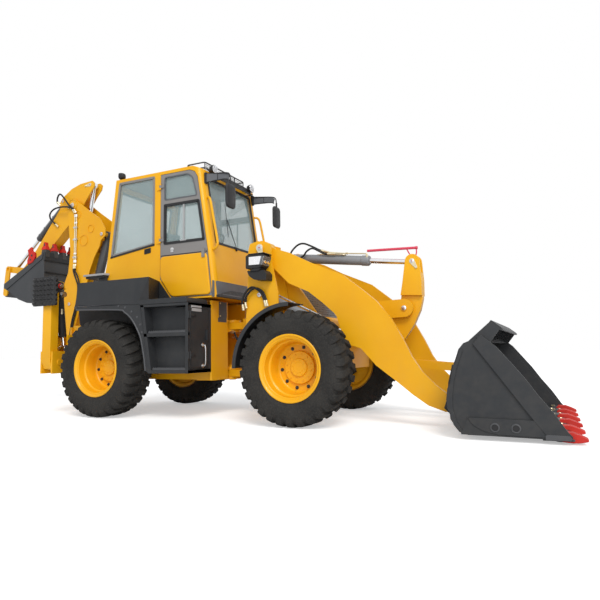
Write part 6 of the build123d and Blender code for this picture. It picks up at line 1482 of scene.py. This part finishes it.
for place, side in SIDES:
    leg, lug, ends = Shape(side), Shape(side), Shape(side)
    rear, front = -3515, -3365
    web = [(905, 562), (905, 1705), (935, 1706), (989, 1620), (1020, 1480), (1020, 680), (987, 578)]
    back = [(790, 640), (790, 1580), (835, 1700), (906, 1705), (906, 562), (865, 544)]
    head = [(800, 1606), (835, 1700), (906, 1705), (906, 1600)]
    foot = [(790, 640), (790, 770), (850, 800), (906, 806), (906, 562), (865, 544)]
    hub = [(851, 560), (851, 770), (906, 770), (906, 562)]
    for outline, x_low, x_high in (
        (web, rear, front), (back, rear, -3494), (head, -3386, front), (foot, -3386, front),
        (hub, -3496, -3384),
    ):
        leg.across(outline, x_low, x_high)
    piece = leg.make(f"leg_{place}", f"stabilizer_leg_{place}", yellow_paint, 4)
    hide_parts(f"stabilizer_leg_{place}")
    ends.rod((-3528, 835, 1540), (-3352, 835, 1540), 25)
    ends.rod((-3590, 925, 1640), (-3290, 925, 1640), 23.5)
    for x in (-3352, -3392):
        ends.rod((x, 835, 1540), (x + 9, 835, 1540), 38, 36, 28)
    ends.make(f"leg_pins_{place}", f"stabilizer_leg_{place}", steel, 1.5)
    for x in (-3548, -3332):
        lug.rod((x, 925, 1640), (x + 10, 925, 1640), 34, 32, 28)
    lug.make(f"pad_pin_collars_{place}", f"stabilizer_leg_{place}", red_paint, 1.5)

# Light step plate behind the cab, over each rear fender

for place, side in SIDES:
    shelf, under = Shape(side), Shape(side)
    outline = [(-3180, 430), (-3180, 690), (-2822, 690), (-2786, 616), (-2786, 430)]
    shelf.plan(outline, 1774, 1800)
    for row in range(5):
        y = 470 + 44 * row
        for column in range(9):
            x = -3150 + 38 * column
            shelf.rod((x, y, 1799), (x, y, 1804), 8, 6, 10)
    shelf.make(f"rear_step_plate_{place}", "rear_frame", pale_grey, 2)
    inner = [(-3150, 450), (-3150, 672), (-2830, 672), (-2790, 600), (-2790, 450)]
    under.plan(inner, 1744, 1775)
    under.slab([(-2800, 1640), (-2800, 1750), (-2960, 1750), (-2860, 1640)], 640, 652)
    under.make(f"rear_step_bracket_{place}", "rear_frame", black_plastic, 2)

# Stage: pale floor, soft light and the photograph's camera

FLOOR_SIZE = 120.0
FLOOR_GLOW = 0.42
SKY_STRENGTH = 0.56
SKY_COLOUR = (0.93, 0.96, 1.0, 1)
floor_data = bpy.data.meshes.new("floor")
half = FLOOR_SIZE / 2
corners = [(-half, -half, 0), (half, -half, 0), (half, half, 0), (-half, half, 0)]
floor_data.from_pydata(corners, [], [(0, 1, 2, 3)])
floor = bpy.data.objects.new("floor", floor_data)
bpy.context.scene.collection.objects.link(floor)
g = Graph("floor")
g.colour(g.ramp(g.noise(0.6, 6), (0.3, 0.86), (0.7, 0.90)))
g.set(Roughness=0.95, Specular_IOR_Level=0.1)
light_path = g.nodes.new("ShaderNodeLightPath")
glow = g.nodes.new("ShaderNodeEmission")
glow.inputs["Strength"].default_value = FLOOR_GLOW
black = g.nodes.new("ShaderNodeEmission")
black.inputs["Strength"].default_value = 0.0
choose = g.nodes.new("ShaderNodeMixShader")
total = g.nodes.new("ShaderNodeAddShader")
output = g.nodes["Material Output"]
for source, target in (
    (light_path.outputs["Is Camera Ray"], choose.inputs["Fac"]), (black.outputs[0], choose.inputs[1]),
    (glow.outputs[0], choose.inputs[2]), (g.shader.outputs[0], total.inputs[0]),
    (choose.outputs[0], total.inputs[1]), (total.outputs[0], output.inputs["Surface"]),
):
    g.links.new(source, target)
floor_data.materials.append(g.material)

world = bpy.data.worlds.new("studio")
bpy.context.scene.world = world
world.use_nodes = True
tree = world.node_tree
sky = tree.nodes["Background"]
sky.inputs["Color"].default_value = SKY_COLOUR
sky.inputs["Strength"].default_value = SKY_STRENGTH
shown = tree.nodes.new("ShaderNodeBackground")
shown.inputs["Color"].default_value = (1, 1, 1, 1)
shown.inputs["Strength"].default_value = 1.0
path = tree.nodes.new("ShaderNodeLightPath")
seen = tree.nodes.new("ShaderNodeMath")
seen.operation = "MAXIMUM"
either = tree.nodes.new("ShaderNodeMath")
either.operation = "MAXIMUM"
choose = tree.nodes.new("ShaderNodeMixShader")
for source, target in (
    (path.outputs["Is Camera Ray"], seen.inputs[0]), (path.outputs["Is Glossy Ray"], seen.inputs[1]),
    (seen.outputs[0], either.inputs[0]), (path.outputs["Is Transmission Ray"], either.inputs[1]),
    (either.outputs[0], choose.inputs["Fac"]), (sky.outputs[0], choose.inputs[1]),
    (shown.outputs[0], choose.inputs[2]),
    (choose.outputs[0], tree.nodes["World Output"].inputs["Surface"]),
):
    tree.links.new(source, target)


def lamp(name, kind, energy, place, target, size=1.0, colour=(1, 1, 1)):
    data = bpy.data.lights.new(name, kind)
    data.energy = energy
    data.color = colour
    if kind == "SUN":
        data.angle = size
    else:
        data.shape = "DISK"
        data.size = size
    made = bpy.data.objects.new(name, data)
    bpy.context.scene.collection.objects.link(made)
    made.location = place
    made.rotation_mode = "QUATERNION"
    made.rotation_quaternion = (Vector(target) - Vector(place)).to_track_quat("-Z", "Y")


lamp("sun", "SUN", 1.75, (6.0, -9.0, 12.0), (0, 0, 1.2), radians(24), (1.0, 0.98, 0.95))
lamp("front_fill", "AREA", 200, (6.5, -8.5, 3.2), (0.5, 0, 1.2), 5.0)

# The photograph's camera, solved from the wheels: yaw turns it from +Y towards -X
CAMERA_AT = (2350.1, -5744.7, 773.6)
CAMERA_YAW, CAMERA_PITCH, CAMERA_ROLL = radians(25.112), radians(5.347), radians(-0.938)
IMAGE_WIDTH = 600.0
FOCAL_PIXELS = 528.16
forward = Vector((
    -sin(CAMERA_YAW) * cos(CAMERA_PITCH), cos(CAMERA_YAW) * cos(CAMERA_PITCH), sin(CAMERA_PITCH),
))
level = forward.cross(Vector((0, 0, 1))).normalized()
upright = level.cross(forward)
right = cos(CAMERA_ROLL) * level + sin(CAMERA_ROLL) * upright
up = -sin(CAMERA_ROLL) * level + cos(CAMERA_ROLL) * upright
camera_data = bpy.data.cameras.new("camera")
camera_data.sensor_width = 36.0
camera_data.lens = camera_data.sensor_width * FOCAL_PIXELS / IMAGE_WIDTH
camera_data.clip_start, camera_data.clip_end = 0.1, 200.0
camera = bpy.data.objects.new("camera", camera_data)
bpy.context.scene.collection.objects.link(camera)
turned = Matrix((right, up, -forward)).transposed().to_4x4()
camera.matrix_world = Matrix.Translation(at(*CAMERA_AT)) @ turned
bpy.context.scene.camera = camera
bpy.context.scene.view_settings.view_transform = "Standard"
